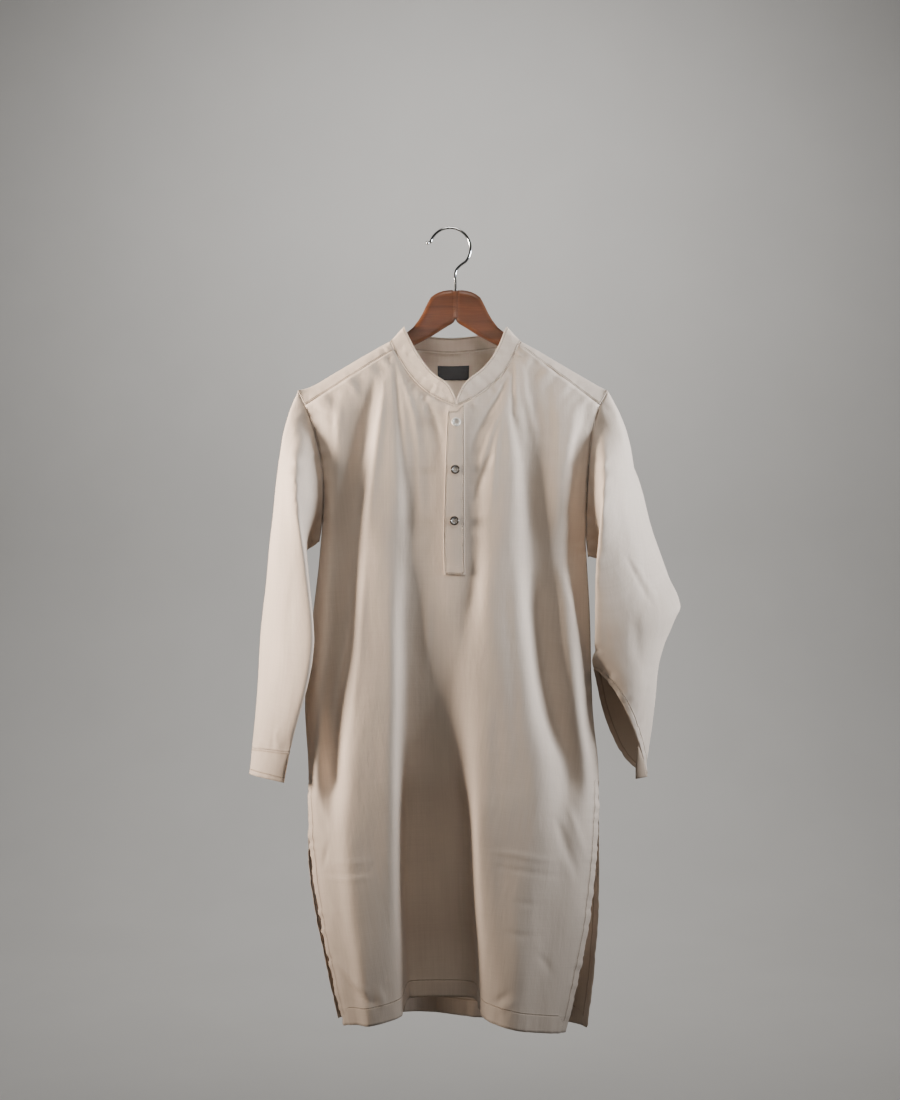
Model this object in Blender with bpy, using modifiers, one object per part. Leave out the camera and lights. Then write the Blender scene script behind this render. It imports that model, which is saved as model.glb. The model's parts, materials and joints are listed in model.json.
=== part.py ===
"""A long cotton kurta on its wooden hanger, each cut piece a closed wall of cloth.

Metres, +Z up, +Y away from the front. The origin is the inside of the hook's crown.
Tables and sizes are in millimetres. Left and right are the wearer's, so left is at +X.
"""
import math
from collections import namedtuple

import bmesh
import bpy
from mathutils import Vector

MM = 0.001
CENTRE = 8.0                 # x of the middle line of the garment and the hanger

# Cloth
CLOTH_THICKNESS = 1.2
SEAM_GAP = 0.3
UNDERARM_EASE = 1.8          # more gap for a sleeve where it meets front and back in one point
REST_HEIGHT = 1.25           # middle of the cloth above the hanger's top edge
LAID_ON_GAP = 0.5            # between a panel and a piece sewn on it
PLACKET_THICKNESS = 1.2
LABEL_THICKNESS = 1.0

# Rows and columns of the cut panels
FRONT_COLUMNS = 36
BACK_COLUMNS = 26
SHOULDER_COLUMNS = 8         # of the yoke, between armhole and neck
NECK_COLUMNS = 10            # of each half of the front neckline, and of the back neck
UNDERARM_ROW = 10
PLACKET_ROW = 11
SLIT_ROW = 20
HEM_ROW = 31
UNDERARM_HEIGHT = -469.0
PLACKET_HEIGHT = -506.0
SLIT_HEIGHT = -805.0
HEM_HEIGHT = -1150.0
UNDERARM_TILT = 11.0         # the wearer's right underarm is this much above the mean
TILT_ROWS = 3                # rows over which that tilt fades out

# Folds of the front, from the wearer's right side to the left: place and depth by height
SECTION_HEIGHTS = (-470, -520, -600, -700, -800, -860, -980, -1080, -1150)
Fold = namedtuple("Fold", "name column across depth hem_rise")
FRONT_FOLDS = (
    Fold("right side", 0, (-188, -194, -204, -212, -206, -207, -193, -171, -154),
         (-2, -2, -2, -2, -3, -8, -14, -22, -28), -8),
    Fold("right outer ridge", 3, (-168, -171, -178, -189, -192, -190, -180, -160, -145),
         (-34, -35, -36, -34, -30, -30, -34, -42, -46), -2),
    Fold("right trough", 6, (-136, -141, -151, -167, -169, -168, -158, -142, -128),
         (-30, -28, -26, -22, -20, -44, -50, -56, -60), 2),
    Fold("right inner ridge", 9, (-120, -125, -133, -140, -145, -143, -134, -122, -110),
         (-50, -51, -52, -56, -60, -62, -68, -74, -76), 5),
    Fold("right lip", 12, (-83, -83, -82, -80, -80, -79, -76, -71, -70),
         (-54, -56, -60, -62, -64, -64, -64, -60, -58), 14),
    Fold("right floor", 15, (-52, -57, -63, -64, -65, -66, -66, -64, -62),
         (-46, -45, -43, -36, -22, -8, 8, 20, 22), 18),
    Fold("placket right edge", 17, (-9.5, -8, -30, -42, -42, -36, -33, -30, -28),
         (-51, -50, -47, -38, -21, -7, 11, 24, 26), 18),
    Fold("middle", 18, (5.5, 7, -14, -26, -24, -18, -16, -14, -12),
         (-52, -52, -49, -39, -20, -6, 12, 24, 26), 18),
    Fold("placket left edge", 19, (20.5, 22, 2, -10, -6, 0, 1, 3, 5),
         (-51, -51, -50, -40, -20, -6, 11, 24, 26), 18),
    Fold("left floor", 21, (36, 35, 18, 4, 12, 24, 30, 36, 38),
         (-50, -50, -51, -43, -25, -8, 8, 20, 22), 17),
    Fold("left lip", 24, (58, 56, 54, 50, 42, 37, 40, 45, 47),
         (-56, -58, -60, -60, -62, -66, -66, -62, -60), 12),
    Fold("left inner ridge", 27, (93, 97, 103, 111, 129, 120, 100, 92, 88),
         (-54, -55, -56, -60, -62, -64, -72, -80, -84), 2),
    Fold("left trough", 30, (118, 122, 130, 145, 170, 165, 145, 128, 118),
         (-34, -32, -30, -28, -26, -46, -58, -66, -72), -5),
    Fold("left outer ridge", 33, (157, 163, 172, 182, 196, 192, 180, 160, 146),
         (-42, -42, -42, -40, -30, -34, -42, -50, -56), -11),
    Fold("left side", 36, (199, 202, 205, 208, 217, 216, 206, 186, 167),
         (-2, -2, -2, -2, -3, -8, -18, -26, -32), -17),
)

# The back: how far it stands off, its own slit edges and its soft folds
BackDepth = namedtuple("BackDepth", "height depth")
BACK_DEPTHS = (
    BackDepth(-470, 36), BackDepth(-600, 40), BackDepth(-700, 45), BackDepth(-800, 51),
    BackDepth(-980, 58), BackDepth(-1150, 62),
)
BackSlit = namedtuple("BackSlit", "height right_x left_x depth")
BACK_SLITS = (
    BackSlit(-805, -206, 217, -3), BackSlit(-860, -207, 218, 5), BackSlit(-924, -208, 219, 10),
    BackSlit(-983, -201, 219, 13), BackSlit(-1071, -183, 213, 17), BackSlit(-1150, -165, 202, 20),
)
BackFold = namedtuple("BackFold", "top_x hem_x top_depth hem_depth half_width")
BACK_FOLDS = (
    BackFold(-112, -118, -4, -13, 30), BackFold(-46, -40, 3, 10, 34),
    BackFold(38, 46, -4, -12, 36), BackFold(120, 128, 3, 11, 32),
)
BACK_HEM_RIGHT = -1162.0
BACK_HEM_LEFT = -1176.0
BACK_ROUNDING = 3.0          # power that rounds the back towards its sides

# Shoulder seams, neckline and armholes as points x, y, z
RIGHT_SHOULDER = ((-211, -16, -260), (-82, -12, -178))
LEFT_SHOULDER = ((100, -12, -171), (218, -16, -259.5))
SHOULDER_BOW = 6.0           # the front seam stands forward between its ends
RIGHT_NECKLINE = ((-82, -12, -178), (-66, -21, -206), (-48, -30, -229), (-24, -38, -249), (9, -43, -264))
LEFT_NECKLINE = (
    (9, -43, -264), (35, -39, -251), (54, -34, -237), (72, -28, -221), (87, -20, -200), (100, -12, -171))
RIGHT_ARMHOLE_FRONT = (
    (-211, -16, -260), (-197, -23, -300), (-187, -24, -345), (-184, -18, -390), (-186, -8, -432),
    (-188, -2, -458))
LEFT_ARMHOLE_FRONT = (
    (218, -16, -259.5), (205, -23, -312), (200, -23, -370), (198, -14, -425), (198, -6, -458),
    (199, -2, -480))
RIGHT_ARMHOLE_BACK = ((-209, 17, -287), (-195, 23, -345), (-189, 19, -405), (-188, -2, -458))
LEFT_ARMHOLE_BACK = ((214, 17, -287), (204, 23, -350), (200, 19, -415), (199, -2, -480))
SIDE_REACH = 3.0             # power by which an armhole's curve fades out towards the middle

# Yoke rows behind the front seam, as points at the armhole, at the neck and at the middle back
YOKE_RIDGE_HALF = 8.8        # rows before and behind the shoulder's top edge
YOKE_RIDGE_DROP = 1.85
RIDGE_ENDS = (-222, 230)
RIDGE_NECK = (-87, 103)
YokeRow = namedtuple("YokeRow", "right_end right_neck middle left_neck left_end")
YOKE_NECK_ROW = 4
YOKE_ROWS = (
    YokeRow((-218, 14, -264), (-80, 22, -172), (4, 42, -178), (95, 22, -169), (226, 14, -257)),
    YokeRow((-213, 16, -276), (-77, 29, -222), (4, 40, -222), (92, 29, -222), (220, 16, -272)),
    YokeRow((-209, 17, -287), (-73, 33, -268), (6, 37, -268), (88, 33, -268), (214, 17, -287)),
)
BACK_NECK_STEPS = (-1.0, -0.82, -0.64, -0.46, -0.275, 0.0, 0.275, 0.46, 0.64, 0.82, 1.0)
BACK_NECK_ROUNDING = 2.2

# Collar: how far its top edge lies inside and above its seam, by seam step from the front end
CollarLean = namedtuple("CollarLean", "step inward back rise")
COLLAR_ROWS = 2
COLLAR_LEANS = (
    CollarLean(0, 0, 1, 12), CollarLean(1, 4, 2, 25), CollarLean(2, 9, 2, 27), CollarLean(5, 18, 2, 21),
    CollarLean(10, 20, 1, 23), CollarLean(12, 21, 0, 21), CollarLean(14, 15, -2, 22),
    CollarLean(19, 0, -4, 23),
)

# Sleeves: rings from the underarm to the end, each a flat loop with a front and a back fold
Ring = namedtuple("Ring", "front_fold back_fold outer_bulge inner_bulge slope rows")
RIGHT_SLEEVE = (
    Ring((-204, -58, -500), (-268, 40, -492), 24, 20, 0.0, 8),
    Ring((-193, -62, -600), (-282, 42, -590), 22, 18, 0.0, 3),
    Ring((-205, -56, -672), (-286, 40, -668), 20, 16, -0.05, 2),
    Ring((-225, -44, -738), (-291, 32, -740), 18, 14, -0.2, 2),
    Ring((-231, -38, -762), (-293, 30, -764), 17, 14, -0.28, 1),
    Ring((-241, -26, -807), (-296, 24, -801), 16, 15, -0.31, 2),
)
RIGHT_CUFF_ROWS = 2
LEFT_SLEEVE = (
    Ring((209, -46, -505), (302, 24, -446), 22, 22, 0.0, 8),
    Ring((207, -44, -560), (326, 14, -512), 22, 22, 0.0, 2),
    Ring((206, -40, -600), (343, 4, -557), 22, 20, 0.0, 2),
    Ring((205, -34, -620), (318, 2, -602), 24, 20, -0.1, 1),
    Ring((204, -29, -629), (307, 1, -642), 25, 24, -0.2, 1),
    Ring((205, -22, -634), (302, 0, -697), 27, 30, -0.4, 1),
    Ring((207, -15, -637), (294, 0, -747), 28, 36, -0.6, 1),
    Ring((209, -8, -640), (288, 0, -799), 28, 42, -0.8, 1),
)
FRONT_FOLD_STEP = 4          # ring steps from the shoulder's top to the front fold
BACK_FOLD_STEP = 20

# How the cloth leaves each armhole, by ring step from the shoulder's top round the front
Flare = namedtuple("Flare", "step outward back rise")
RIGHT_FLARES = (
    Flare(0, 100, -10, -230), Flare(2, 130, -130, -240), Flare(4, 130, -240, -150), Flare(8, 60, -150, -130),
    Flare(12, 90, -10, -60), Flare(16, 70, 110, -130), Flare(20, 130, 130, -150), Flare(23, 120, 50, -220),
    Flare(26, 100, -10, -230),
)
LEFT_FLARES = (
    Flare(0, 160, -20, -230), Flare(2, 110, -120, -250), Flare(4, 85, -200, -155), Flare(8, 60, -120, -130),
    Flare(12, 90, -10, -60), Flare(16, 110, 100, -90), Flare(20, 260, 60, -20), Flare(23, 205, 20, -160),
    Flare(26, 160, -20, -230),
)
LENS_FULLNESS = 0.8

# Placket, label and buttons
PLACKET_COLUMNS = (17, 18, 19)
PLACKET_TOP_DROP = 0.55      # its free corner starts this share of a row below the neckline
LABEL_COLUMNS = (12, 13, 14)
LABEL_SPAN = (0.42, 0.9)     # of the yoke row below the neck
BUTTON_HEIGHTS = (-287, -355, -428)
BUTTON_PROFILE = (           # radius and level, from the middle of the face round the rim to the back
    (0, 0.7), (3.4, 0.7), (4.4, 1.3), (5.5, 1.3), (6.4, 0.6), (6.4, -0.6), (5.2, -1.3), (0, -1.3))
BUTTON_STEPS = 20
BUTTON_GAP = 0.45

# Hanger: distance from the middle and drop below the top of the wood, along each arm's edges
WOOD_TOP = -89.0
ARM_TOP = (
    (0, 0), (11, 0.6), (20.5, 2.4), (35, 10), (43, 24), (51, 40), (64, 57), (88, 72.5), (111, 85),
    (219, 148.5))
ARM_TOP_STOPS = (0, 6, 12, 18, 24, 30, 36, 40, 44, 48, 54, 62, 72, 86, 111, 165, 214)
ARM_END = ((219, 152), (221, 160), (218, 168))
ARM_BOTTOM = ((0, 46.5), (16, 56), (34, 67.5), (65, 84), (111, 111), (212, 170))
ARM_BOTTOM_STOPS = (212, 160, 111, 88, 65, 48, 34, 16, 0)
ARM_THICKNESS = 14.0
ARM_ROUNDING = 6.0
ARM_ROUNDING_STEPS = 3
ARM_CORNER_ANGLE = 50.0      # edges sharper than this are rounded
WIRE_HOLE_SIDES = 16
WIRE_RADIUS = 1.9
STEM_DEPTH = 24.0            # of the wire inside the wood
HOOK_RADIUS = 30.0
HOOK_START_ANGLE = 163.0
HOOK_END_ANGLE = -40.0
HOOK_STEP_ANGLE = 14.5
HOOK_TIP = ((-33.6, -20.4), (-32.2, -19.6))
HOOK_TIP_SWELLING = 1.45     # the ball on the wire's end, as a share of the wire
STEM_START = 8.0             # above the wood, where the wire turns straight down
HOOK_NECK = ((13.5, -54.5), (8.8, -61.0), (7.3, -69.0))

# Colours: base colour, roughness, metallic
CREAM_COTTON = ((0.78, 0.70, 0.60, 1.0), 0.75, 0.0)
BLACK_SATIN = ((0.012, 0.012, 0.014, 1.0), 0.55, 0.0)
RED_BROWN_WOOD = ((0.30, 0.10, 0.035, 1.0), 0.38, 0.0)
BRIGHT_WIRE = ((0.80, 0.80, 0.80, 1.0), 0.16, 1.0)
PALE_SHELL = ((0.74, 0.71, 0.66, 1.0), 0.30, 0.0)

# Meshes
MERGE_DISTANCE = 0.00001     # metres
CREASE_ANGLE = 35.0          # steeper edges are shaded sharp
LINE_SAMPLES = 240           # of a line before it is divided evenly
THINNEST_MITRE = 0.6         # keeps walls from growing at sharp seams


def smooth_value(places, values, place):
    """Read a smooth curve through values at rising places, without overshoot."""
    place = min(max(place, places[0]), places[-1])
    index = max(i for i in range(len(places) - 1) if places[i] <= place)
    slopes = [(values[i + 1] - values[i]) / (places[i + 1] - places[i]) for i in range(len(places) - 1)]

    def tangent(knot):
        if knot == 0:
            return slopes[0]
        if knot == len(places) - 1:
            return slopes[-1]
        before, after = slopes[knot - 1], slopes[knot]
        if before * after <= 0:
            return 0.0
        return 2 * before * after / (before + after)

    width = places[index + 1] - places[index]
    t = (place - places[index]) / width
    start, end = values[index], values[index + 1]
    lead = width * tangent(index)
    trail = width * tangent(index + 1)
    return ((2 * t ** 3 - 3 * t ** 2 + 1) * start + (t ** 3 - 2 * t ** 2 + t) * lead
            + (3 * t ** 2 - 2 * t ** 3) * end + (t ** 3 - t ** 2) * trail)


def even_points(points, steps):
    """Divide a smooth curve through points into equal lengths."""
    places = list(range(len(points)))
    dense = []
    for sample in range(LINE_SAMPLES + 1):
        place = (len(points) - 1) * sample / LINE_SAMPLES
        dense.append(Vector([smooth_value(places, [p[axis] for p in points], place) for axis in range(3)]))
    return spread_evenly(dense, steps)


def spread_evenly(dense, steps):
    """Pick steps + 1 points at equal lengths along a finely sampled line."""
    lengths = [0.0]
    for before, after in zip(dense, dense[1:]):
        lengths.append(lengths[-1] + (after - before).length)
    picked = []
    index = 0
    for step in range(steps + 1):
        target = lengths[-1] * step / steps
        while index < len(dense) - 2 and lengths[index + 1] < target:
            index += 1
        share = (target - lengths[index]) / (lengths[index + 1] - lengths[index])
        picked.append(dense[index].lerp(dense[index + 1], min(max(share, 0.0), 1.0)))
    return picked


def framed_rows(top, bottom, start_side, end_side):
    """Fill a four-sided frame of points with rows; its sides' curves fade out inwards."""
    rows = len(start_side) - 1
    columns = len(top) - 1
    patch = []
    for j in range(rows + 1):
        start_extra = start_side[j] - hanging_point(top[0], bottom[0], j / rows)
        end_extra = end_side[j] - hanging_point(top[-1], bottom[-1], j / rows)
        row = []
        for i in range(columns + 1):
            s = i / columns
            extra = start_extra * (1 - s) ** SIDE_REACH + end_extra * s ** SIDE_REACH
            row.append(hanging_point(top[i], bottom[i], j / rows) + extra)
        patch.append(row)
    return patch


def hanging_point(top, bottom, share):
    """Point between two rows: the fall is even, and the cloth turns plumb before the lower row."""
    eased = 1 - (1 - share) ** 2
    return Vector((top.x + (bottom.x - top.x) * eased, top.y + (bottom.y - top.y) * eased,
                   top.z + (bottom.z - top.z) * share))


def arm_top_height(x):
    """Height of the hanger's top edge at x."""
    places = [row[0] for row in ARM_TOP]
    drops = [row[1] for row in ARM_TOP]
    return WOOD_TOP - smooth_value(places, drops, abs(x - CENTRE))


def row_height(row):
    """Height of a level row of the front or the back, from the underarm down."""
    stops = (UNDERARM_ROW, PLACKET_ROW, SLIT_ROW, HEM_ROW)
    heights = (UNDERARM_HEIGHT, PLACKET_HEIGHT, SLIT_HEIGHT, HEM_HEIGHT)
    for k in range(3):
        if row <= stops[k + 1]:
            share = (row - stops[k]) / (stops[k + 1] - stops[k])
            return heights[k] + share * (heights[k + 1] - heights[k])
    return HEM_HEIGHT


def underarm_shift(row, share):
    """Extra height of a point near the underarm row, at its share of the width."""
    fade = max(0.0, 1.0 - (row - UNDERARM_ROW) / TILT_ROWS)
    return UNDERARM_TILT * fade * (1.0 - 2.0 * share)


def front_level_row(row):
    """Points of one row of the front, through its folds at that height."""
    height = row_height(row)
    rising = [-h for h in SECTION_HEIGHTS]
    columns = [fold.column for fold in FRONT_FOLDS]
    across = [smooth_value(rising, fold.across, -height) for fold in FRONT_FOLDS]
    depth = [smooth_value(rising, fold.depth, -height) for fold in FRONT_FOLDS]
    hem_share = max(0.0, (row - SLIT_ROW) / (HEM_ROW - SLIT_ROW)) ** 2
    points = []
    for column in range(FRONT_COLUMNS + 1):
        rise = smooth_value(columns, [fold.hem_rise for fold in FRONT_FOLDS], column) * hem_share
        shift = underarm_shift(row, column / FRONT_COLUMNS) + rise
        points.append(Vector((smooth_value(columns, across, column), smooth_value(columns, depth, column),
                              height + shift)))
    return points


def back_level_row(row):
    """Points of one row of the back, evenly spread over its folds."""
    height = row_height(row)
    if row <= SLIT_ROW:
        edge = front_level_row(row)
        right_x, left_x, edge_depth = edge[0].x, edge[-1].x, edge[0].y
    else:
        heights = [-slit.height for slit in BACK_SLITS]
        right_x = smooth_value(heights, [slit.right_x for slit in BACK_SLITS], -height)
        left_x = smooth_value(heights, [slit.left_x for slit in BACK_SLITS], -height)
        edge_depth = smooth_value(heights, [slit.depth for slit in BACK_SLITS], -height)
    depth = smooth_value([-d.height for d in BACK_DEPTHS], [d.depth for d in BACK_DEPTHS], -height)
    fall = (UNDERARM_HEIGHT - height) / (UNDERARM_HEIGHT - HEM_HEIGHT)
    hem_share = max(0.0, (row - SLIT_ROW) / (HEM_ROW - SLIT_ROW)) ** 2
    dense = []
    for sample in range(LINE_SAMPLES + 1):
        share = sample / LINE_SAMPLES
        x = right_x + (left_x - right_x) * share
        side = abs(2 * share - 1)
        rounding = math.sqrt(max(0.0, 1 - side ** BACK_ROUNDING))
        y = edge_depth + (depth - edge_depth) * rounding
        for fold in BACK_FOLDS:
            middle = fold.top_x + (fold.hem_x - fold.top_x) * fall
            size = fold.top_depth + (fold.hem_depth - fold.top_depth) * fall
            y += size * rounding * math.exp(-((x - middle) / fold.half_width) ** 2)
        hem = BACK_HEM_RIGHT + (BACK_HEM_LEFT - BACK_HEM_RIGHT) * share - HEM_HEIGHT
        dense.append(Vector((x, y, height + underarm_shift(row, share) + hem * hem_share)))
    return spread_evenly(dense, BACK_COLUMNS)


def shoulder_seam(ends):
    """Front seam of the yoke, standing forward between its ends."""
    start, end = Vector(ends[0]), Vector(ends[1])
    points = []
    for step in range(SHOULDER_COLUMNS + 1):
        share = step / SHOULDER_COLUMNS
        point = start.lerp(end, share)
        point.y -= SHOULDER_BOW * math.sin(math.pi * share)
        points.append(point)
    return points


def front_points():
    """All rows of the front, from the yoke seams and neckline to the hem."""
    top = shoulder_seam(RIGHT_SHOULDER)
    top += even_points(RIGHT_NECKLINE, NECK_COLUMNS)[1:]
    top += even_points(LEFT_NECKLINE, NECK_COLUMNS)[1:]
    top += shoulder_seam(LEFT_SHOULDER)[1:]
    level = front_level_row(UNDERARM_ROW)
    right_side = even_points(RIGHT_ARMHOLE_FRONT, UNDERARM_ROW)
    left_side = even_points(LEFT_ARMHOLE_FRONT, UNDERARM_ROW)
    right_side[-1] = level[0]
    left_side[-1] = level[-1]
    rows = framed_rows(top, level, right_side, left_side)
    for row in range(UNDERARM_ROW + 1, HEM_ROW + 1):
        rows.append(front_level_row(row))
    return rows


def yoke_points():
    """Rows of the yoke by column, from the front seam over the shoulders to the back seam."""
    columns = SHOULDER_COLUMNS
    rows = [dict() for _ in range(YOKE_NECK_ROW + len(YOKE_ROWS))]
    right_seam = shoulder_seam(RIGHT_SHOULDER)
    left_seam = shoulder_seam(LEFT_SHOULDER)
    for step in range(columns + 1):
        share = step / columns
        right_x = RIDGE_ENDS[0] + (RIDGE_NECK[0] - RIDGE_ENDS[0]) * share
        left_x = RIDGE_ENDS[1] + (RIDGE_NECK[1] - RIDGE_ENDS[1]) * share
        sides = ((step, right_seam[step], right_x), (BACK_COLUMNS - step, left_seam[columns - step], left_x))
        for column, seam, x in sides:
            rows[0][column] = seam
            for row, across in ((1, -1), (2, 0), (3, 1)):
                height = arm_top_height(x) + REST_HEIGHT - YOKE_RIDGE_DROP * abs(across)
                rows[row][column] = Vector((x, across * YOKE_RIDGE_HALF, height))
        for k, table in enumerate(YOKE_ROWS):
            row = rows[YOKE_NECK_ROW + k]
            row[step] = Vector(table.right_end).lerp(Vector(table.right_neck), share)
            row[BACK_COLUMNS - step] = Vector(table.left_end).lerp(Vector(table.left_neck), share)
    for k, table in enumerate(YOKE_ROWS):
        for step, place in enumerate(BACK_NECK_STEPS):
            side = Vector(table.right_neck) if place < 0 else Vector(table.left_neck)
            middle = Vector(table.middle)
            point = middle.lerp(side, abs(place))
            point.y = middle.y + (side.y - middle.y) * abs(place) ** BACK_NECK_ROUNDING
            rows[YOKE_NECK_ROW + k][columns + step] = point
    return rows


def back_points(yoke_seam):
    """All rows of the back, from the yoke's seam to the hem."""
    level = back_level_row(UNDERARM_ROW)
    right_side = even_points(RIGHT_ARMHOLE_BACK, UNDERARM_ROW)
    left_side = even_points(LEFT_ARMHOLE_BACK, UNDERARM_ROW)
    right_side[-1] = level[0]
    left_side[-1] = level[-1]
    right_side[0] = yoke_seam[0]
    left_side[0] = yoke_seam[-1]
    rows = framed_rows(yoke_seam, level, right_side, left_side)
    for row in range(UNDERARM_ROW + 1, HEM_ROW + 1):
        rows.append(back_level_row(row))
    return rows


def lens_ring(ring, steps):
    """Points of one sleeve ring, from the shoulder's top line round the front fold."""
    front, back = Vector(ring.front_fold), Vector(ring.back_fold)
    chord = front - back
    sideways = Vector((chord.y, -chord.x, 0)).normalized()
    if sideways.x * (back.x - CENTRE) < 0:
        sideways = -sideways
    points = []
    inner_steps = BACK_FOLD_STEP - FRONT_FOLD_STEP
    outer_steps = steps - inner_steps
    for step in range(steps):
        if FRONT_FOLD_STEP <= step <= BACK_FOLD_STEP:
            share = (step - FRONT_FOLD_STEP) / inner_steps
            point = front.lerp(back, share)
            bulge = -ring.inner_bulge
        else:
            share = ((step - BACK_FOLD_STEP) % steps) / outer_steps
            point = back.lerp(front, share)
            bulge = ring.outer_bulge
        level_y = point.y
        point = point + sideways * bulge * max(0.0, math.sin(math.pi * share)) ** LENS_FULLNESS
        point.z += ring.slope * (point.y - level_y)
        points.append(point)
    return points


def sleeve_points(armhole, table, flares, outward):
    """Rings of a sleeve, from its armhole through the table's rings."""
    steps = len(armhole)
    rings = [armhole]
    loops = [lens_ring(entry, steps) for entry in table]
    first, second = loops[0], loops[1]
    places = [flare.step for flare in flares]
    for row in range(1, table[0].rows):
        t = row / table[0].rows
        ring = []
        for step in range(steps):
            leave = Vector((outward * smooth_value(places, [flare.outward for flare in flares], step),
                            smooth_value(places, [flare.back for flare in flares], step),
                            smooth_value(places, [flare.rise for flare in flares], step)))
            arrive = (second[step] - first[step]).normalized() * (first[step] - armhole[step]).length
            ring.append((2 * t ** 3 - 3 * t ** 2 + 1) * armhole[step] + (t ** 3 - 2 * t ** 2 + t) * leave
                        + (3 * t ** 2 - 2 * t ** 3) * first[step] + (t ** 3 - t ** 2) * arrive)
        rings.append(ring)
    rings.append(first)
    stops = [0]
    for entry in table[1:]:
        stops.append(stops[-1] + entry.rows)
    for row in range(1, stops[-1] + 1):
        ring = []
        for step in range(steps):
            place = [smooth_value(stops, [loop[step][axis] for loop in loops], row) for axis in range(3)]
            ring.append(Vector(place))
        rings.append(ring)
    return rings


class ClothNet:
    """The cloth's middle surface: points by key, and the cells of each panel."""

    def __init__(self):
        self.points = {}
        self.cells = {}
        self.normals = {}
        self.stretch = {}
        self.underarm = {}

    def add_cell(self, panel, corners):
        self.cells.setdefault(panel, []).append(corners)

    def cell_normal(self, corners):
        a, b, c, d = (self.points[key] for key in corners)
        return (c - a).cross(d - b)

    def find_normals(self):
        """Share one normal between all panels that meet at a point."""
        around = {}
        for cells in self.cells.values():
            for corners in cells:
                normal = self.cell_normal(corners)
                for key in corners:
                    around.setdefault(key, []).append(normal)
        for key, normals in around.items():
            total = sum(normals, Vector((0, 0, 0))).normalized()
            spread = sum(total.dot(n.normalized()) for n in normals) / len(normals)
            self.normals[key] = total
            self.stretch[key] = 1.0 / max(THINNEST_MITRE, spread)

    def inset(self, cells, underarm_ease):
        """Move the panel's edge points into the panel by half the seam gap, and more at the underarm."""
        edges = {}
        for corners in cells:
            for k in range(4):
                pair = (corners[k], corners[(k + 1) % 4])
                edges.setdefault(frozenset(pair), []).append((pair, corners))
        inward = {}
        for uses in edges.values():
            if len(uses) > 1:
                continue
            (start, end), corners = uses[0]
            along = self.points[end] - self.points[start]
            direction = self.cell_normal(corners).cross(along).normalized()
            inward.setdefault(start, []).append(direction)
            inward.setdefault(end, []).append(direction)
        shifts = {}
        for key, directions in inward.items():
            total = sum(directions, Vector((0, 0, 0))).normalized()
            share = max(THINNEST_MITRE, total.dot(directions[0]))
            gap = SEAM_GAP / 2 + underarm_ease * self.underarm.get(key, 0.0)
            shifts[key] = total * (gap / share)
        return shifts, [uses[0][0] for uses in edges.values() if len(uses) == 1]


def wall_object(name, net, cells, thickness, colour, collection):
    """Give a panel its thickness on both sides of the middle surface."""
    shifts, rim = net.inset(cells, UNDERARM_EASE if name.startswith("sleeve") else 0.0)
    keys = sorted({key for corners in cells for key in corners}, key=str)
    mesh = bmesh.new()
    outer, inner = {}, {}
    for key in keys:
        middle = net.points[key] + shifts.get(key, Vector((0, 0, 0)))
        reach = net.normals[key] * (thickness / 2 * net.stretch[key])
        outer[key] = mesh.verts.new((middle + reach) * MM)
        inner[key] = mesh.verts.new((middle - reach) * MM)
    for corners in cells:
        a, b, c, d = corners
        if (net.points[a] - net.points[c]).length <= (net.points[b] - net.points[d]).length:
            halves = ((a, b, c), (a, c, d))
        else:
            halves = ((a, b, d), (b, c, d))
        for half in halves:
            mesh.faces.new([outer[key] for key in half])
            mesh.faces.new([inner[key] for key in reversed(half)])
    for start, end in rim:
        mesh.faces.new((outer[end], outer[start], inner[start], inner[end]))
    bmesh.ops.triangulate(mesh, faces=[face for face in mesh.faces if len(face.verts) == 4])
    return finished_object(name, mesh, colour, collection)


def finished_object(name, mesh, colour, collection):
    """Turn a bmesh into a named object with its own material."""
    data = bpy.data.meshes.new(name)
    mesh.to_mesh(data)
    mesh.free()
    obj = bpy.data.objects.new(name, data)
    collection.objects.link(obj)
    data.materials.append(plain_material(name, colour))
    data.shade_smooth()
    data.set_sharp_from_angle(angle=math.radians(CREASE_ANGLE))
    return obj


def plain_material(name, colour):
    base, roughness, metallic = colour
    material = bpy.data.materials.new(name)
    material.use_nodes = True
    shader = material.node_tree.nodes["Principled BSDF"]
    shader.inputs["Base Color"].default_value = base
    shader.inputs["Roughness"].default_value = roughness
    shader.inputs["Metallic"].default_value = metallic
    material.diffuse_color = base
    return material


def front_key(row, column, half):
    """Key of a front point; the placket slit parts the middle column above its end."""
    if row == 0 and column <= SHOULDER_COLUMNS:
        return ("yoke", 0, column)
    if row == 0 and column >= FRONT_COLUMNS - SHOULDER_COLUMNS:
        return ("yoke", 0, column - FRONT_COLUMNS + BACK_COLUMNS)
    if column == FRONT_COLUMNS // 2 and row < UNDERARM_ROW:
        return ("front", row, column, half)
    if column in (0, FRONT_COLUMNS) and UNDERARM_ROW <= row <= SLIT_ROW:
        return ("side", row, column > 0)
    return ("front", row, column)


def back_key(row, column):
    if row == 0:
        return ("yoke", YOKE_NECK_ROW + len(YOKE_ROWS) - 1, column)
    if column in (0, BACK_COLUMNS) and UNDERARM_ROW <= row <= SLIT_ROW:
        return ("side", row, column > 0)
    return ("back", row, column)


def front_piece(row, half):
    """Node that holds a row of the front; the placket slit parts the chest."""
    if row < UNDERARM_ROW:
        return "front_chest_" + half
    return "front_middle" if row < SLIT_ROW else "front_skirt"


def add_front(net):
    rows = front_points()
    middle = FRONT_COLUMNS // 2
    for row in range(HEM_ROW + 1):
        for column in range(FRONT_COLUMNS + 1):
            for half in ("right", "left"):
                net.points[front_key(row, column, half)] = rows[row][column]
    for row in range(HEM_ROW):
        for column in range(FRONT_COLUMNS):
            half = "right" if column < middle else "left"
            corners = ((row, column), (row + 1, column), (row + 1, column + 1), (row, column + 1))
            net.add_cell(front_piece(row, half), tuple(front_key(j, i, half) for j, i in corners))
    return rows


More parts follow.
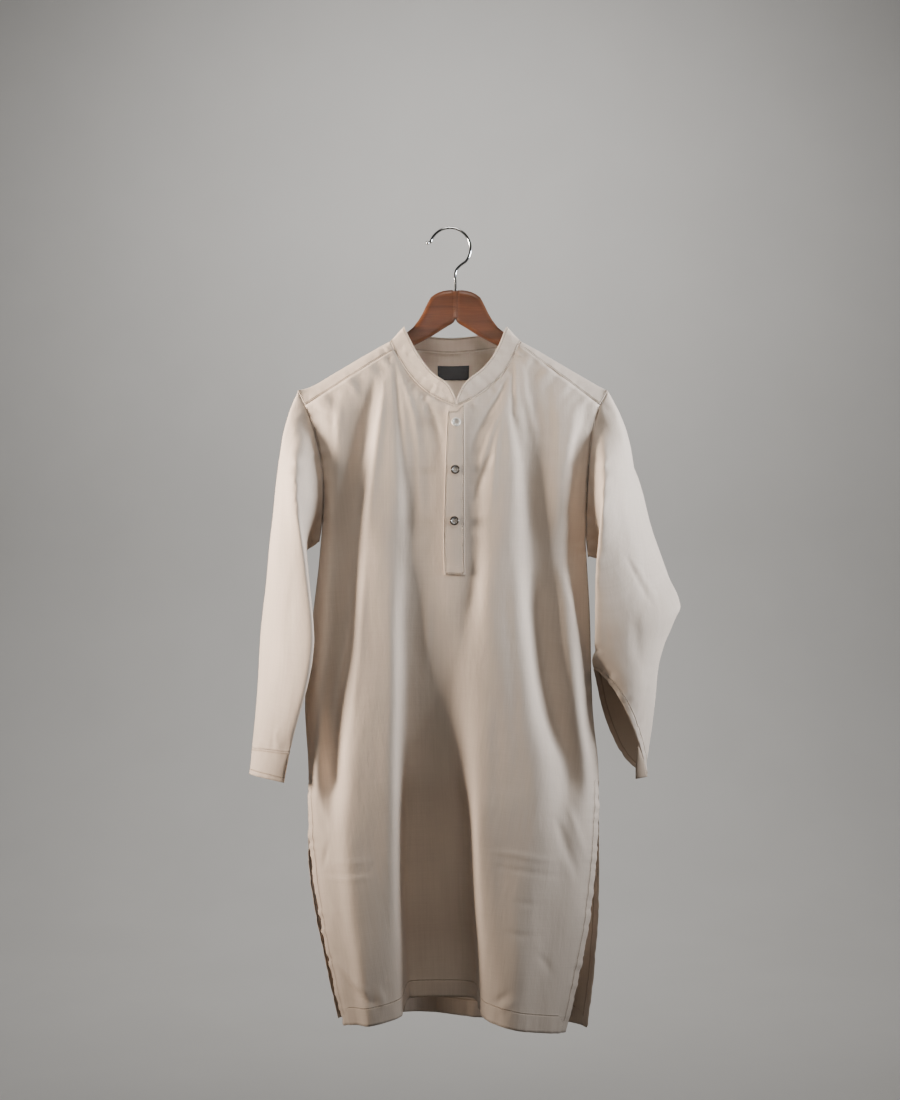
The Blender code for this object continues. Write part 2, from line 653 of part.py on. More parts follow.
def add_yoke(net):
    rows = yoke_points()
    for row, points in enumerate(rows):
        for column, point in points.items():
            net.points[("yoke", row, column)] = point
    for row in range(len(rows) - 1):
        for column in range(BACK_COLUMNS):
            corners = [("yoke", row, column), ("yoke", row, column + 1),
                       ("yoke", row + 1, column + 1), ("yoke", row + 1, column)]
            over_neck = SHOULDER_COLUMNS <= column < BACK_COLUMNS - SHOULDER_COLUMNS
            if not (over_neck and row < YOKE_NECK_ROW):
                net.add_cell("yoke", tuple(corners))
    return [rows[-1][column] for column in range(BACK_COLUMNS + 1)]


def add_back(net, yoke_seam):
    rows = back_points(yoke_seam)
    for row in range(HEM_ROW + 1):
        for column in range(BACK_COLUMNS + 1):
            key = back_key(row, column)
            if key not in net.points:
                net.points[key] = rows[row][column]
    for row in range(HEM_ROW):
        for column in range(BACK_COLUMNS):
            corners = ((row, column), (row, column + 1), (row + 1, column + 1), (row + 1, column))
            net.add_cell("back", tuple(back_key(j, i) for j, i in corners))


def neck_loop():
    """Keys of the collar's seam, from the front end on the right round to the left."""
    neck_rows = range(1, YOKE_NECK_ROW)
    right, left = SHOULDER_COLUMNS, BACK_COLUMNS - SHOULDER_COLUMNS
    middle = FRONT_COLUMNS // 2
    loop = [front_key(0, column, "right") for column in range(middle, SHOULDER_COLUMNS - 1, -1)]
    loop += [("yoke", row, right) for row in neck_rows]
    loop += [("yoke", YOKE_NECK_ROW, column) for column in range(right, left + 1)]
    loop += [("yoke", row, left) for row in reversed(neck_rows)]
    left_start = FRONT_COLUMNS - SHOULDER_COLUMNS
    loop += [front_key(0, column, "left") for column in range(left_start, middle - 1, -1)]
    return loop


def add_collar(net):
    loop = neck_loop()
    last = len(loop) - 1
    steps = [lean.step for lean in COLLAR_LEANS]
    for step, base in enumerate(loop):
        place = min(step, last - step)
        side = 1 if step <= last / 2 else -1
        inward = smooth_value(steps, [lean.inward for lean in COLLAR_LEANS], place) * side
        back = smooth_value(steps, [lean.back for lean in COLLAR_LEANS], place)
        rise = smooth_value(steps, [lean.rise for lean in COLLAR_LEANS], place)
        for row in range(1, COLLAR_ROWS + 1):
            lean = Vector((inward, back, rise)) * (row / COLLAR_ROWS)
            net.points[("collar", row, step)] = net.points[base] + lean

    def key(row, step):
        return loop[step] if row == 0 else ("collar", row, step)

    for step in range(last):
        for row in range(COLLAR_ROWS):
            corners = ((row, step), (row + 1, step), (row + 1, step + 1), (row, step + 1))
            net.add_cell("collar", tuple(key(*corner) for corner in corners))


def armhole_loop(left):
    """Keys of an armhole, from the shoulder's top over the front to the underarm and up the back."""
    yoke_column = BACK_COLUMNS if left else 0
    front_column = FRONT_COLUMNS if left else 0
    half = "left" if left else "right"
    loop = [("yoke", row, yoke_column) for row in (2, 1, 0)]
    loop += [front_key(row, front_column, half) for row in range(1, UNDERARM_ROW + 1)]
    loop += [back_key(row, yoke_column) for row in range(UNDERARM_ROW - 1, -1, -1)]
    loop += [("yoke", row, yoke_column) for row in (5, 4, 3)]
    return loop


def add_sleeve(net, name, table, flares, left, cuff_rows=0):
    """Rings of cells down a sleeve; the last rows may belong to its cuff."""
    loop = armhole_loop(left)
    rings = sleeve_points([net.points[key] for key in loop], table, flares, 1 if left else -1)
    steps = len(loop)
    lowest = loop.index(front_key(UNDERARM_ROW, FRONT_COLUMNS if left else 0, "left" if left else "right"))
    for beside, share in ((-1, 0.5), (0, 1.0), (1, 0.5)):
        net.underarm[loop[lowest + beside]] = share

    def key(row, step):
        return loop[step % steps] if row == 0 else (name, row, step % steps)

    for row in range(1, len(rings)):
        for step in range(steps):
            net.points[key(row, step)] = rings[row][step]
    cuff_start = len(rings) - 1 - cuff_rows
    for row in range(len(rings) - 1):
        panel = name if row < cuff_start else name.replace("sleeve", "cuff")
        for step in range(steps):
            corners = [(row, step), (row + 1, step), (row + 1, step + 1), (row, step + 1)]
            if left:
                corners.reverse()
            net.add_cell(panel, tuple(key(*corner) for corner in corners))


def laid_on_object(name, rows, colour, thickness, lift, collection):
    """Make a piece sewn on a panel from rows of that panel's points and normals, moved along them."""
    piece = ClothNet()
    for j, row in enumerate(rows):
        for i, (point, normal) in enumerate(row):
            piece.points[(j, i)] = point + normal * lift
    for j in range(len(rows) - 1):
        for i in range(len(rows[0]) - 1):
            piece.add_cell(name, ((j, i), (j + 1, i), (j + 1, i + 1), (j, i + 1)))
    piece.find_normals()
    return wall_object(name, piece, piece.cells[name], thickness, colour, collection)


def placket_rows(net):
    rows = []
    for row in range(PLACKET_ROW + 1):
        picked = []
        for column in PLACKET_COLUMNS:
            key = front_key(row, column, "left")
            picked.append([net.points[key].copy(), net.normals[key]])
        rows.append(picked)
    free_corner = rows[0][0]
    free_corner[0] = free_corner[0].lerp(rows[1][0][0], PLACKET_TOP_DROP)
    middle = rows[0][1]
    middle[0] = middle[0].lerp(rows[1][1][0], PLACKET_TOP_DROP / 2)
    return rows


def label_rows(net):
    """Points on the inside of the yoke below the back neck."""
    rows = []
    for share in LABEL_SPAN:
        picked = []
        for column in LABEL_COLUMNS:
            above, below = ("yoke", YOKE_NECK_ROW, column), ("yoke", YOKE_NECK_ROW + 1, column)
            point = net.points[above].lerp(net.points[below], share)
            normal = net.normals[above].lerp(net.normals[below], share).normalized()
            picked.append((point, -normal))
        rows.append(picked)
    return rows


def button_object(name, height, net, collection):
    """A turned shell button, facing out of the placket at its height."""
    rows = range(1, PLACKET_ROW)
    column = PLACKET_COLUMNS[1]
    keys = [front_key(row, column, "left") for row in rows]
    spots = [(net.points[key], net.normals[key]) for key in keys]
    above = max(k for k in range(len(spots) - 1) if spots[k][0].z >= height)
    share = (spots[above][0].z - height) / (spots[above][0].z - spots[above + 1][0].z)
    point = spots[above][0].lerp(spots[above + 1][0], share)
    facing = spots[above][1].lerp(spots[above + 1][1], share).normalized()
    half_height = -BUTTON_PROFILE[-1][1]
    lift = CLOTH_THICKNESS / 2 + LAID_ON_GAP + PLACKET_THICKNESS + BUTTON_GAP + half_height
    data = bpy.data.meshes.new(name)
    points = [(radius * MM, 0, level * MM) for radius, level in BUTTON_PROFILE]
    data.from_pydata(points, [(k, k + 1) for k in range(len(points) - 1)], [])
    button = bpy.data.objects.new(name, data)
    collection.objects.link(button)
    button.location = (point + facing * lift) * MM
    button.rotation_euler = facing.to_track_quat("Z", "Y").to_euler()
    screw = button.modifiers.new("Turned", "SCREW")
    screw.steps = BUTTON_STEPS
    screw.render_steps = BUTTON_STEPS
    screw.use_merge_vertices = True
    screw.merge_threshold = MERGE_DISTANCE
    screw.use_smooth_shade = True
    data.materials.append(plain_material(name, PALE_SHELL))
    return button


def edge_points(edge, stops):
    """Points of one edge of an arm at the given distances from the middle."""
    places = [row[0] for row in edge]
    drops = [row[1] for row in edge]
    return [(stop, smooth_value(places, drops, stop)) for stop in stops]


def hanger_arm(name, side, cutter, collection):
    """One wooden arm: a flat outline given its thickness, its edges rounded, with half the wire's hole."""
    points = edge_points(ARM_TOP, ARM_TOP_STOPS) + list(ARM_END) + edge_points(ARM_BOTTOM, ARM_BOTTOM_STOPS)
    outline = bpy.data.curves.new(name, "CURVE")
    outline.dimensions = "2D"
    outline.fill_mode = "BOTH"
    outline.extrude = ARM_THICKNESS / 2 * MM
    spline = outline.splines.new("POLY")
    spline.points.add(len(points) - 1)
    spline.use_cyclic_u = True
    for spot, (place, drop) in zip(spline.points, points):
        spot.co = ((place + SEAM_GAP / 2) * side * MM, -drop * MM, 0, 1)
    flat = bpy.data.objects.new(name + "_outline", outline)
    collection.objects.link(flat)
    flat.location = Vector((CENTRE, 0, WOOD_TOP)) * MM
    flat.rotation_euler = (math.pi / 2, 0, 0)
    bpy.context.view_layer.update()
    evaluated = flat.evaluated_get(bpy.context.evaluated_depsgraph_get())
    data = bpy.data.meshes.new_from_object(evaluated)
    mesh = bmesh.new()
    mesh.from_mesh(data)
    bmesh.ops.remove_doubles(mesh, verts=mesh.verts, dist=MERGE_DISTANCE)
    bmesh.ops.dissolve_limit(mesh, angle_limit=math.radians(1), verts=mesh.verts, edges=mesh.edges)
    bmesh.ops.recalc_face_normals(mesh, faces=mesh.faces)
    matrix = flat.matrix_world.copy()
    bpy.data.objects.remove(flat)
    arm = finished_object(name, mesh, RED_BROWN_WOOD, collection)
    arm.matrix_world = matrix
    rounding = arm.modifiers.new("Rounded edges", "BEVEL")
    rounding.width = ARM_ROUNDING * MM
    rounding.segments = ARM_ROUNDING_STEPS
    rounding.limit_method = "ANGLE"
    rounding.angle_limit = math.radians(ARM_CORNER_ANGLE)
    hole = arm.modifiers.new("Wire hole", "BOOLEAN")
    hole.object = cutter
    hole.operation = "DIFFERENCE"
    return arm


def wire_hole_cutter(collection):
    depth = (STEM_DEPTH + SEAM_GAP) * 2 * MM
    bpy.ops.mesh.primitive_cylinder_add(vertices=WIRE_HOLE_SIDES, radius=(WIRE_RADIUS + SEAM_GAP) * MM,
                                        depth=depth, location=Vector((CENTRE, 0, WOOD_TOP)) * MM)
    cutter = bpy.context.object
    cutter.name = "wire_hole_cutter"
    cutter.hide_render = True
    cutter.display_type = "WIRE"
    for owner in list(cutter.users_collection):
        owner.objects.unlink(cutter)
    collection.objects.link(cutter)
    return cutter


def hook_points():
    """Middle line of the wire: tip, round crown, neck and stem."""
    points = [(x, z, HOOK_TIP_SWELLING) for x, z in HOOK_TIP]
    angle = HOOK_START_ANGLE
    while angle > HOOK_END_ANGLE:
        turn = math.radians(angle)
        middle = WIRE_RADIUS - HOOK_RADIUS
        points.append((HOOK_RADIUS * math.cos(turn), middle + HOOK_RADIUS * math.sin(turn), 1.0))
        angle -= HOOK_STEP_ANGLE
    points += [(x, z, 1.0) for x, z in HOOK_NECK]
    points.append((CENTRE, WOOD_TOP + STEM_START, 1.0))
    points.append((CENTRE, WOOD_TOP - STEM_DEPTH, 1.0))
    return points


def hanger_hook(collection):
    wire = bpy.data.curves.new("hanger_hook", "CURVE")
    wire.dimensions = "3D"
    wire.bevel_depth = WIRE_RADIUS * MM
    wire.bevel_resolution = 2
    wire.use_fill_caps = True
    points = hook_points()
    spline = wire.splines.new("POLY")
    spline.points.add(len(points) - 1)
    for spot, (x, z, size) in zip(spline.points, points):
        spot.co = (x * MM, 0, z * MM, 1)
        spot.radius = size
    hook = bpy.data.objects.new("hanger_hook", wire)
    collection.objects.link(hook)
    wire.materials.append(plain_material("hanger_hook", BRIGHT_WIRE))
    return hook


def new_collection(name):
    collection = bpy.data.collections.new(name)
    bpy.context.scene.collection.children.link(collection)
    return collection


def build_kurta():
    for obj in list(bpy.data.objects):
        bpy.data.objects.remove(obj)
    parts = new_collection("kurta_on_hanger")
    cutters = new_collection("cutters")
    net = ClothNet()
    add_front(net)
    add_back(net, add_yoke(net))
    add_collar(net)
    add_sleeve(net, "sleeve_right", RIGHT_SLEEVE, RIGHT_FLARES, left=False, cuff_rows=RIGHT_CUFF_ROWS)
    add_sleeve(net, "sleeve_left", LEFT_SLEEVE, LEFT_FLARES, left=True)
    net.find_normals()
    for name, cells in net.cells.items():
        wall_object(name, net, cells, CLOTH_THICKNESS, CREAM_COTTON, parts)
    placket_lift = (CLOTH_THICKNESS + PLACKET_THICKNESS) / 2 + LAID_ON_GAP
    laid_on_object("placket", placket_rows(net), CREAM_COTTON, PLACKET_THICKNESS, placket_lift, parts)
    label_lift = (CLOTH_THICKNESS + LABEL_THICKNESS) / 2 + LAID_ON_GAP
    laid_on_object("label", label_rows(net), BLACK_SATIN, LABEL_THICKNESS, label_lift, parts)
    for number, height in enumerate(BUTTON_HEIGHTS, start=1):
        button_object(f"button_{number}", height, net, parts)
    cutter = wire_hole_cutter(cutters)
    hanger_arm("hanger_arm_left", 1, cutter, parts)
    hanger_arm("hanger_arm_right", -1, cutter, parts)
    hanger_hook(parts)


build_kurta()
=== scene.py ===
"""Looks of a long cotton kurta on its wooden hanger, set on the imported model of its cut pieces."""

import json
import math
from collections import namedtuple

import bmesh
import bpy
import numpy as np
from mathutils import Matrix, Vector, noise
from mathutils.bvhtree import BVHTree
from mathutils.kdtree import KDTree

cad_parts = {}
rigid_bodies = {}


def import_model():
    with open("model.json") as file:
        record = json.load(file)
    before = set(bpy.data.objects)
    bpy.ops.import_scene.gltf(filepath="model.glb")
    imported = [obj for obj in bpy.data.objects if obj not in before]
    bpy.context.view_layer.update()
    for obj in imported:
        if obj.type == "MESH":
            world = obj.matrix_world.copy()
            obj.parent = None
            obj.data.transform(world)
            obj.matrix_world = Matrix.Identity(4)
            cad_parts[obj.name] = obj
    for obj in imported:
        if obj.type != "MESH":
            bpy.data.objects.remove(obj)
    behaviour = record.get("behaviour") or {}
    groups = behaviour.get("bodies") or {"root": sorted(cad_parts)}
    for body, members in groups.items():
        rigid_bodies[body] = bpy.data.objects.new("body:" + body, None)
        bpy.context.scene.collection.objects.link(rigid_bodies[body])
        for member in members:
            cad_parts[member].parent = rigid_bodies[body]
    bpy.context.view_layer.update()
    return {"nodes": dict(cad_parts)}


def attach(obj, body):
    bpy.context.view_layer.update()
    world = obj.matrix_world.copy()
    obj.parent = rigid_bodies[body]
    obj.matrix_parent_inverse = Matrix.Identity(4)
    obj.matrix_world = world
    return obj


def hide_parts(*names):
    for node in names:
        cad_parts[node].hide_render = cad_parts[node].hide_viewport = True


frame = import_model()

bl_info = {
    "name": "Kurta on its hanger",
    "version": (1, 0, 0),
    "blender": (4, 5, 0),
    "location": "3D View > Sidebar > Kurta",
    "description": "Sews, creases and lights a long cotton kurta on a wooden hanger",
    "category": "Object",
}

# Sizes below are in millimetres, as on a pattern
MM = 0.001
CENTRE = 8.0                 # x of the garment's middle line
SAME_POINT = 0.01            # points closer than this are one point
THREAD_GAP = 0.4             # seams closer than this are one line of cloth
WALL_EDGE = 2.1              # edges shorter than this run through a wall
SQUARE_TO_WALL = 0.35        # the most that such an edge leans along either side
TURNED_SHARE = 0.3           # faces that look this much the given way are a turned edge
CORNER_ROUNDS = 4            # times an opening's cut corner is eased
CORNER_TURN = 40.0           # edges of a cut piece that turn more than this keep their corner
UPRIGHT = 0.7                # an upright edge rises by more than this share of its length
STITCH_STEP = 3.0
STITCH_LENGTH = 2.3
THREAD_WIDTH = 0.6
STITCH_BREAK = 12.0          # longer steps of an outline are left unsewn
STITCH_REACH = 3.0           # stitches lie no further than this from the cloth
NO_STITCHES = 20.0           # distance noted where no row of stitches is near
WAVE_LENGTH = 24.0           # of the hanging cloth's slow waves
WAVE_STRETCH = 3.5           # times as long upright as across
PUCKER_SWELL = 1.6
PUCKER_END = 2.2             # puckers have died away this many reaches from an edge
BAND_MARGIN = 8.0            # and a turned band's lift this far past its depth
SEAM_HOLD = 3.5              # a sewn edge keeps the cloth still this far in
BAND_LIFT = 0.4              # of a turned band's double cloth
BAND_STEP = 1.5              # how sharply that lift ends

# Cut pieces: nodes they are cut from, way their outer face looks (none for a tube or band),
# rounding level, extra cuts across, thickness, height of the slow waves and what they hang from
CutPiece = namedtuple("CutPiece", "nodes outward level cuts thickness waves hangs_from")
CUT_PIECES = {
    "front": CutPiece(("front_chest_right", "front_chest_left", "front_middle", "front_skirt"),
                      (0, -1, 0), 2, 1, 0.9, 0.8, "cloth_yoke"),
    "back": CutPiece(("back",), (0, 1, 0), 2, 1, 0.9, 0.8, "cloth_yoke"),
    "yoke": CutPiece(("yoke",), (0, 0, 1), 3, 0, 0.9, 0.25, "hanger_arm_left"),
    "collar": CutPiece(("collar",), None, 3, 0, 1.2, 0.3, "cloth_yoke"),
    "placket": CutPiece(("placket",), (0, -1, 0), 3, 0, 1.0, 0.2, "cloth_front"),
    "sleeve_left": CutPiece(("sleeve_left",), None, 2, 1, 0.9, 0.8, "cloth_yoke"),
    "sleeve_right": CutPiece(("sleeve_right",), None, 2, 1, 0.9, 0.7, "cloth_yoke"),
    "cuff_right": CutPiece(("cuff_right",), None, 3, 0, 1.2, 0.3, "cloth_sleeve_right"),
    "label": CutPiece(("label",), (0, -1, 0), 3, 0, 0.8, 0.15, "cloth_yoke"),
}

# Edges of a cut piece: where they lie (heights, and distances from the middle line), whether they run
# upright, whether they hang free, the height, spacing and reach of their puckers, the depth of a
# turned band and where rows of stitches run, as distances in from the edge
Edging = namedtuple("Edging", "low high near far upright free pucker spacing reach band stitches")
EDGINGS = {
    "front": (
        Edging(-1200, -1085, 0, 200, False, True, 1.1, 10, 20, 28, (25,)),
        Edging(-1200, -806, 80, 240, True, True, 2.0, 8.5, 16, 14, (12.5,)),
        Edging(-806, -472, 90, 240, True, False, 1.2, 14, 16, 0, ()),
        Edging(-472, -262, 150, 260, None, False, 1.3, 12, 16, 0, (2.4,)),
        Edging(-290, -165, 86, 260, None, False, 2.8, 11, 26, 0, ()),
        Edging(-290, -165, 0, 100, None, False, 1.4, 9, 14, 0, ()),
    ),
    "back": (
        Edging(-1200, -1085, 0, 200, False, True, 1.1, 10, 20, 28, (25,)),
        Edging(-1200, -806, 80, 240, True, True, 1.0, 11, 16, 14, (12.5,)),
        Edging(-806, -472, 90, 240, True, False, 1.2, 14, 16, 0, ()),
        Edging(-472, -290, 150, 260, None, False, 2.0, 11, 18, 0, (2.4,)),
        Edging(-295, -165, 0, 260, None, False, 2.4, 11, 26, 0, ()),
    ),
    "yoke": (
        Edging(-300, -165, 98, 245, None, False, 1.0, 11, 10, 0, (2.2,)),
        Edging(-300, -225, 0, 245, None, False, 1.0, 11, 10, 0, (2.2,)),
        Edging(-225, -140, 0, 100, None, False, 1.6, 9, 16, 0, ()),
    ),
    "collar": (
        Edging(-300, -100, 0, 120, None, True, 0.6, 9, 26, 0, (2.4,)),
    ),
    "placket": (
        Edging(-600, -200, 0, 60, None, True, 0.5, 11, 8, 0, (2.2,)),
    ),
    "sleeve_left": (
        Edging(-850, -590, 150, 400, None, True, 1.6, 8.5, 14, 9, (8.0,)),
        Edging(-590, -200, 150, 300, None, False, 1.2, 12, 18, 0, ()),
    ),
    "sleeve_right": (
        Edging(-800, -700, 200, 350, None, False, 1.4, 10, 18, 0, ()),
        Edging(-590, -200, 150, 300, None, False, 1.2, 12, 18, 0, ()),
    ),
    "cuff_right": (
        Edging(-850, -780, 200, 350, None, True, 0.6, 10, 10, 0, (7.0,)),
        Edging(-780, -700, 200, 350, None, False, 0.6, 10, 10, 0, (2.2,)),
    ),
    "label": (),
}

# Creases laid one by one: each runs through its points, given as x, z, half width and height above the cloth
CreasePoint = namedtuple("CreasePoint", "x z reach rise")


def crease_lines(*lines):
    return tuple(tuple(CreasePoint(*row) for row in line) for line in lines)


FRONT_CREASES = crease_lines(
    # under the right yoke seam
    ((-109, -211, 3, 0), (-113, -244, 6, -2.4), (-121, -292, 8, -3),
     (-128, -334, 9, -2.6), (-138, -386, 10, -1.5), (-144, -449, 12, 0)),
    ((-94, -209, 3, 0), (-98, -261, 5, 2), (-107, -334, 6, 2.4),
     (-115, -407, 6, 1.6), (-119, -470, 7, 0)),
    ((-82, -190, 2, 0), (-78, -229, 4, -1.5), (-73, -282, 5, -1.8),
     (-67, -345, 6, -1.6), (-61, -417, 7, -1.2), (-55, -484, 9, 0)),
    ((-76, -198, 2, 0), (-61, -244, 4, 1.4), (-50, -282, 5, 1.6),
     (-44, -334, 6, 1.3), (-42, -407, 6, 0.9), (-44, -470, 8, 0)),
    # beside the placket
    ((-69, -206, 2, 0), (-40, -240, 4, -1.8), (-23, -282, 5, -2.3),
     (-14, -315, 4, -1.8), (-12, -366, 4, 0)),
    ((-155, -233, 2, 0), (-160, -263, 5, 1.3), (-165, -313, 7, 1.5), (-167, -370, 8, 0)),
    ((-172, -243, 2, 0), (-170, -278, 4, -1.4), (-167, -320, 5, -1.2), (-161, -356, 6, 0)),
    # from the neck on the left
    ((84, -217, 2, 0), (69, -251, 4, -1.8), (55, -273, 5, -2), (39, -303, 5, -1.4), (31, -328, 4, 0)),
    ((63, -325, 3, 0), (54, -345, 5, -1.5), (41, -377, 5, -1.4), (33, -407, 4, 0)),
    ((82, -256, 3, 0), (65, -286, 4, 1.2), (48, -335, 4, 1.2), (40, -366, 4, 0)),
    ((80, -261, 2, 0), (69, -303, 4, 1.1), (63, -345, 5, 1.2), (57, -428, 6, 0)),
    ((92, -198, 2, 0), (90, -235, 4, -1.6), (90, -273, 6, -2.6), (94, -292, 7, -2.6),
     (105, -345, 9, -2), (111, -407, 10, -1), (115, -470, 10, 0)),
    ((103, -198, 2, 0), (109, -246, 5, 1.5), (120, -292, 6, 1.5), (128, -356, 8, 0)),
    ((137, -206, 2, 0), (141, -245, 5, -1.1), (145, -299, 7, -1), (147, -356, 8, 0)),
    # under the left shoulder
    ((187, -246, 2, 0), (178, -282, 5, 2), (170, -334, 6, 2), (168, -366, 7, 0)),
    ((197, -253, 2, 0), (197, -273, 4, -2), (187, -307, 6, -2.4),
     (180, -345, 7, -1.6), (184, -392, 8, -0.8), (190, -429, 8, 0)),
    # right side ridge
    ((-171, -484, 6, 0), (-172, -541, 9, 1.6), (-177, -612, 9, 1.6), (-182, -684, 8, 0)),
    # crisp edge of the right fold
    ((-120, -463, 4, 0), (-125, -554, 4, 1.4), (-130, -627, 4, 1.5),
     (-137, -684, 4, 1.3), (-144, -748, 5, 0)),
    # middle
    ((-33, -520, 6, 0), (-31, -598, 7, 1), (-27, -684, 8, 0)),
    ((-20, -541, 4, 0), (-29, -637, 4, -0.9), (-30, -691, 4, 0)),
    # over the left fold
    ((78, -506, 6, 0), (86, -598, 8, -1), (91, -684, 8, -0.9), (94, -769, 8, 0)),
    # hollows and swells beside the two long folds
    ((116, -500, 10, 0), (126, -565, 13, -3), (137, -650, 14, -4.5),
     (150, -722, 13, -4), (163, -792, 9, 0)),
    ((158, -488, 9, 0), (166, -545, 11, 3.4), (173, -610, 12, 3.8), (184, -690, 10, 2), (190, -750, 8, 0)),
    ((-166, -640, 9, 0), (-168, -700, 11, -3), (-170, -756, 12, -4),
     (-164, -806, 10, -2.4), (-158, -836, 8, 0)),
    # towards the left side seam
    ((160, -484, 5, 0), (171, -541, 6, 1.6), (184, -598, 6, 1.9), (194, -655, 5, 0)),
    ((181, -506, 4, 0), (187, -556, 5, -1.5), (194, -612, 4, 0)),
    # at the left slit
    ((151, -850, 4, 0), (158, -869, 6, -2.6), (168, -898, 8, -3.4),
     (178, -923, 7, -2.4), (185, -949, 5, 0)),
    ((165, -829, 4, 0), (178, -863, 6, 1.8), (190, -898, 6, 1.5), (197, -923, 4, 0)),
    # at the right slit
    ((-195, -826, 4, 0), (-191, -843, 6, -1.8), (-182, -866, 7, -1.6), (-177, -886, 6, 0)),
    ((-175, -889, 3, 0), (-179, -909, 4, -1.9), (-185, -933, 3, 0)),
    # pressed bands
    ((-182, -922, 2.5, 0), (-157, -917, 3, 0.7), (-128, -915, 3, 0.7), (-104, -912, 2.5, 0)),
    ((-190, -938, 2, 0), (-164, -935, 2.6, -0.9), (-133, -931, 2.6, -0.9), (-105, -927, 2, 0)),
    ((-188, -944, 2, 0), (-164, -942, 2.4, 0.7), (-133, -938, 2.4, 0.7), (-107, -934, 2, 0)),
    ((48, -897, 2.5, 0), (86, -902, 3, 1.0), (128, -910, 3, 1.0), (170, -917, 2.5, 0)),
    ((51, -920, 2, 0), (93, -925, 2.6, -0.9), (135, -933, 2.6, -0.9), (174, -940, 2, 0)),
    # above the hem
    ((-165, -1067, 3, 0), (-151, -1084, 4, -1.9), (-135, -1101, 4, -2.5),
     (-120, -1111, 4, -2.2), (-104, -1114, 3, 0)),
    ((-160, -1058, 3, 0), (-146, -1075, 4, 1.4), (-130, -1091, 4, 1.8), (-112, -1100, 3, 0)),
    ((-175, -1026, 3, 0), (-161, -1049, 5, -1.6), (-144, -1071, 5, 0)),
    ((-105, -1085, 3, 0), (-97, -1106, 4, 2.0), (-91, -1124, 4, 0)),
    ((-116, -1096, 3, 0), (-108, -1112, 3.5, -1.5), (-102, -1128, 3, 0)),
    ((-176, -968, 3, 0), (-163, -990, 5, 1.2), (-152, -1018, 5, 0)),
    ((57, -1117, 3, 0), (71, -1106, 4, -1.9), (88, -1093, 3, 0)),
    ((66, -1124, 3, 0), (80, -1115, 4, 1.4), (98, -1104, 3, 0)),
    ((70, -1010, 3, 0), (100, -1017, 4, -0.9), (134, -1020, 3, 0)),
    ((84, -968, 3, 0), (112, -973, 4, -0.8), (140, -975, 3, 0)),
    ((120, -1040, 3, 0), (136, -1058, 5, -1.4), (150, -1084, 4, 0)),
)

SLEEVE_LEFT_CREASES = crease_lines(
    ((251, -474, 3, 0), (258, -487, 3, -1.1), (271, -512, 4, -1.5),
     (283, -534, 4, -1.2), (297, -556, 3, 0)),
    ((265, -484, 3, 0), (275, -502, 4, 0.9), (288, -525, 4, 0.9), (302, -542, 3, 0)),
    ((269, -556, 6, 0), (266, -578, 9, -1.8), (271, -614, 10, -1.8), (278, -640, 6, 0)),
    ((285, -646, 2, 0), (292, -640, 3, -0.9), (301, -636, 2, 0)),
    ((282, -663, 2, 0), (291, -657, 3, -0.9), (300, -651, 2, 0)),
    ((274, -686, 2, 0), (285, -677, 3, -0.8), (297, -672, 2, 0)),
    ((239, -312, 5, 0), (248, -398, 8, 1.1), (259, -470, 8, 0)),
    ((225, -542, 5, 0), (225, -600, 7, -0.9), (222, -631, 5, 0)),
)

SLEEVE_RIGHT_CREASES = crease_lines(
    ((-216, -271, 2, 0), (-212, -289, 4, -1.2), (-203, -312, 4, 0)),
    ((-222, -283, 3, 0), (-216, -326, 5, -1), (-207, -369, 5, 0)),
    ((-243, -369, 5, 0), (-249, -456, 8, 1), (-253, -542, 8, 0)),
    ((-222, -484, 4, 0), (-228, -542, 7, -1), (-235, -614, 7, 0)),
    ((-271, -672, 3, 0), (-262, -693, 4, -1), (-249, -709, 3, 0)),
    ((-282, -731, 2, 0), (-275, -742, 3, -1), (-265, -751, 2, 0)),
    ((-243, -718, 2, 0), (-251, -736, 3, 0.8), (-253, -755, 2, 0)),
)

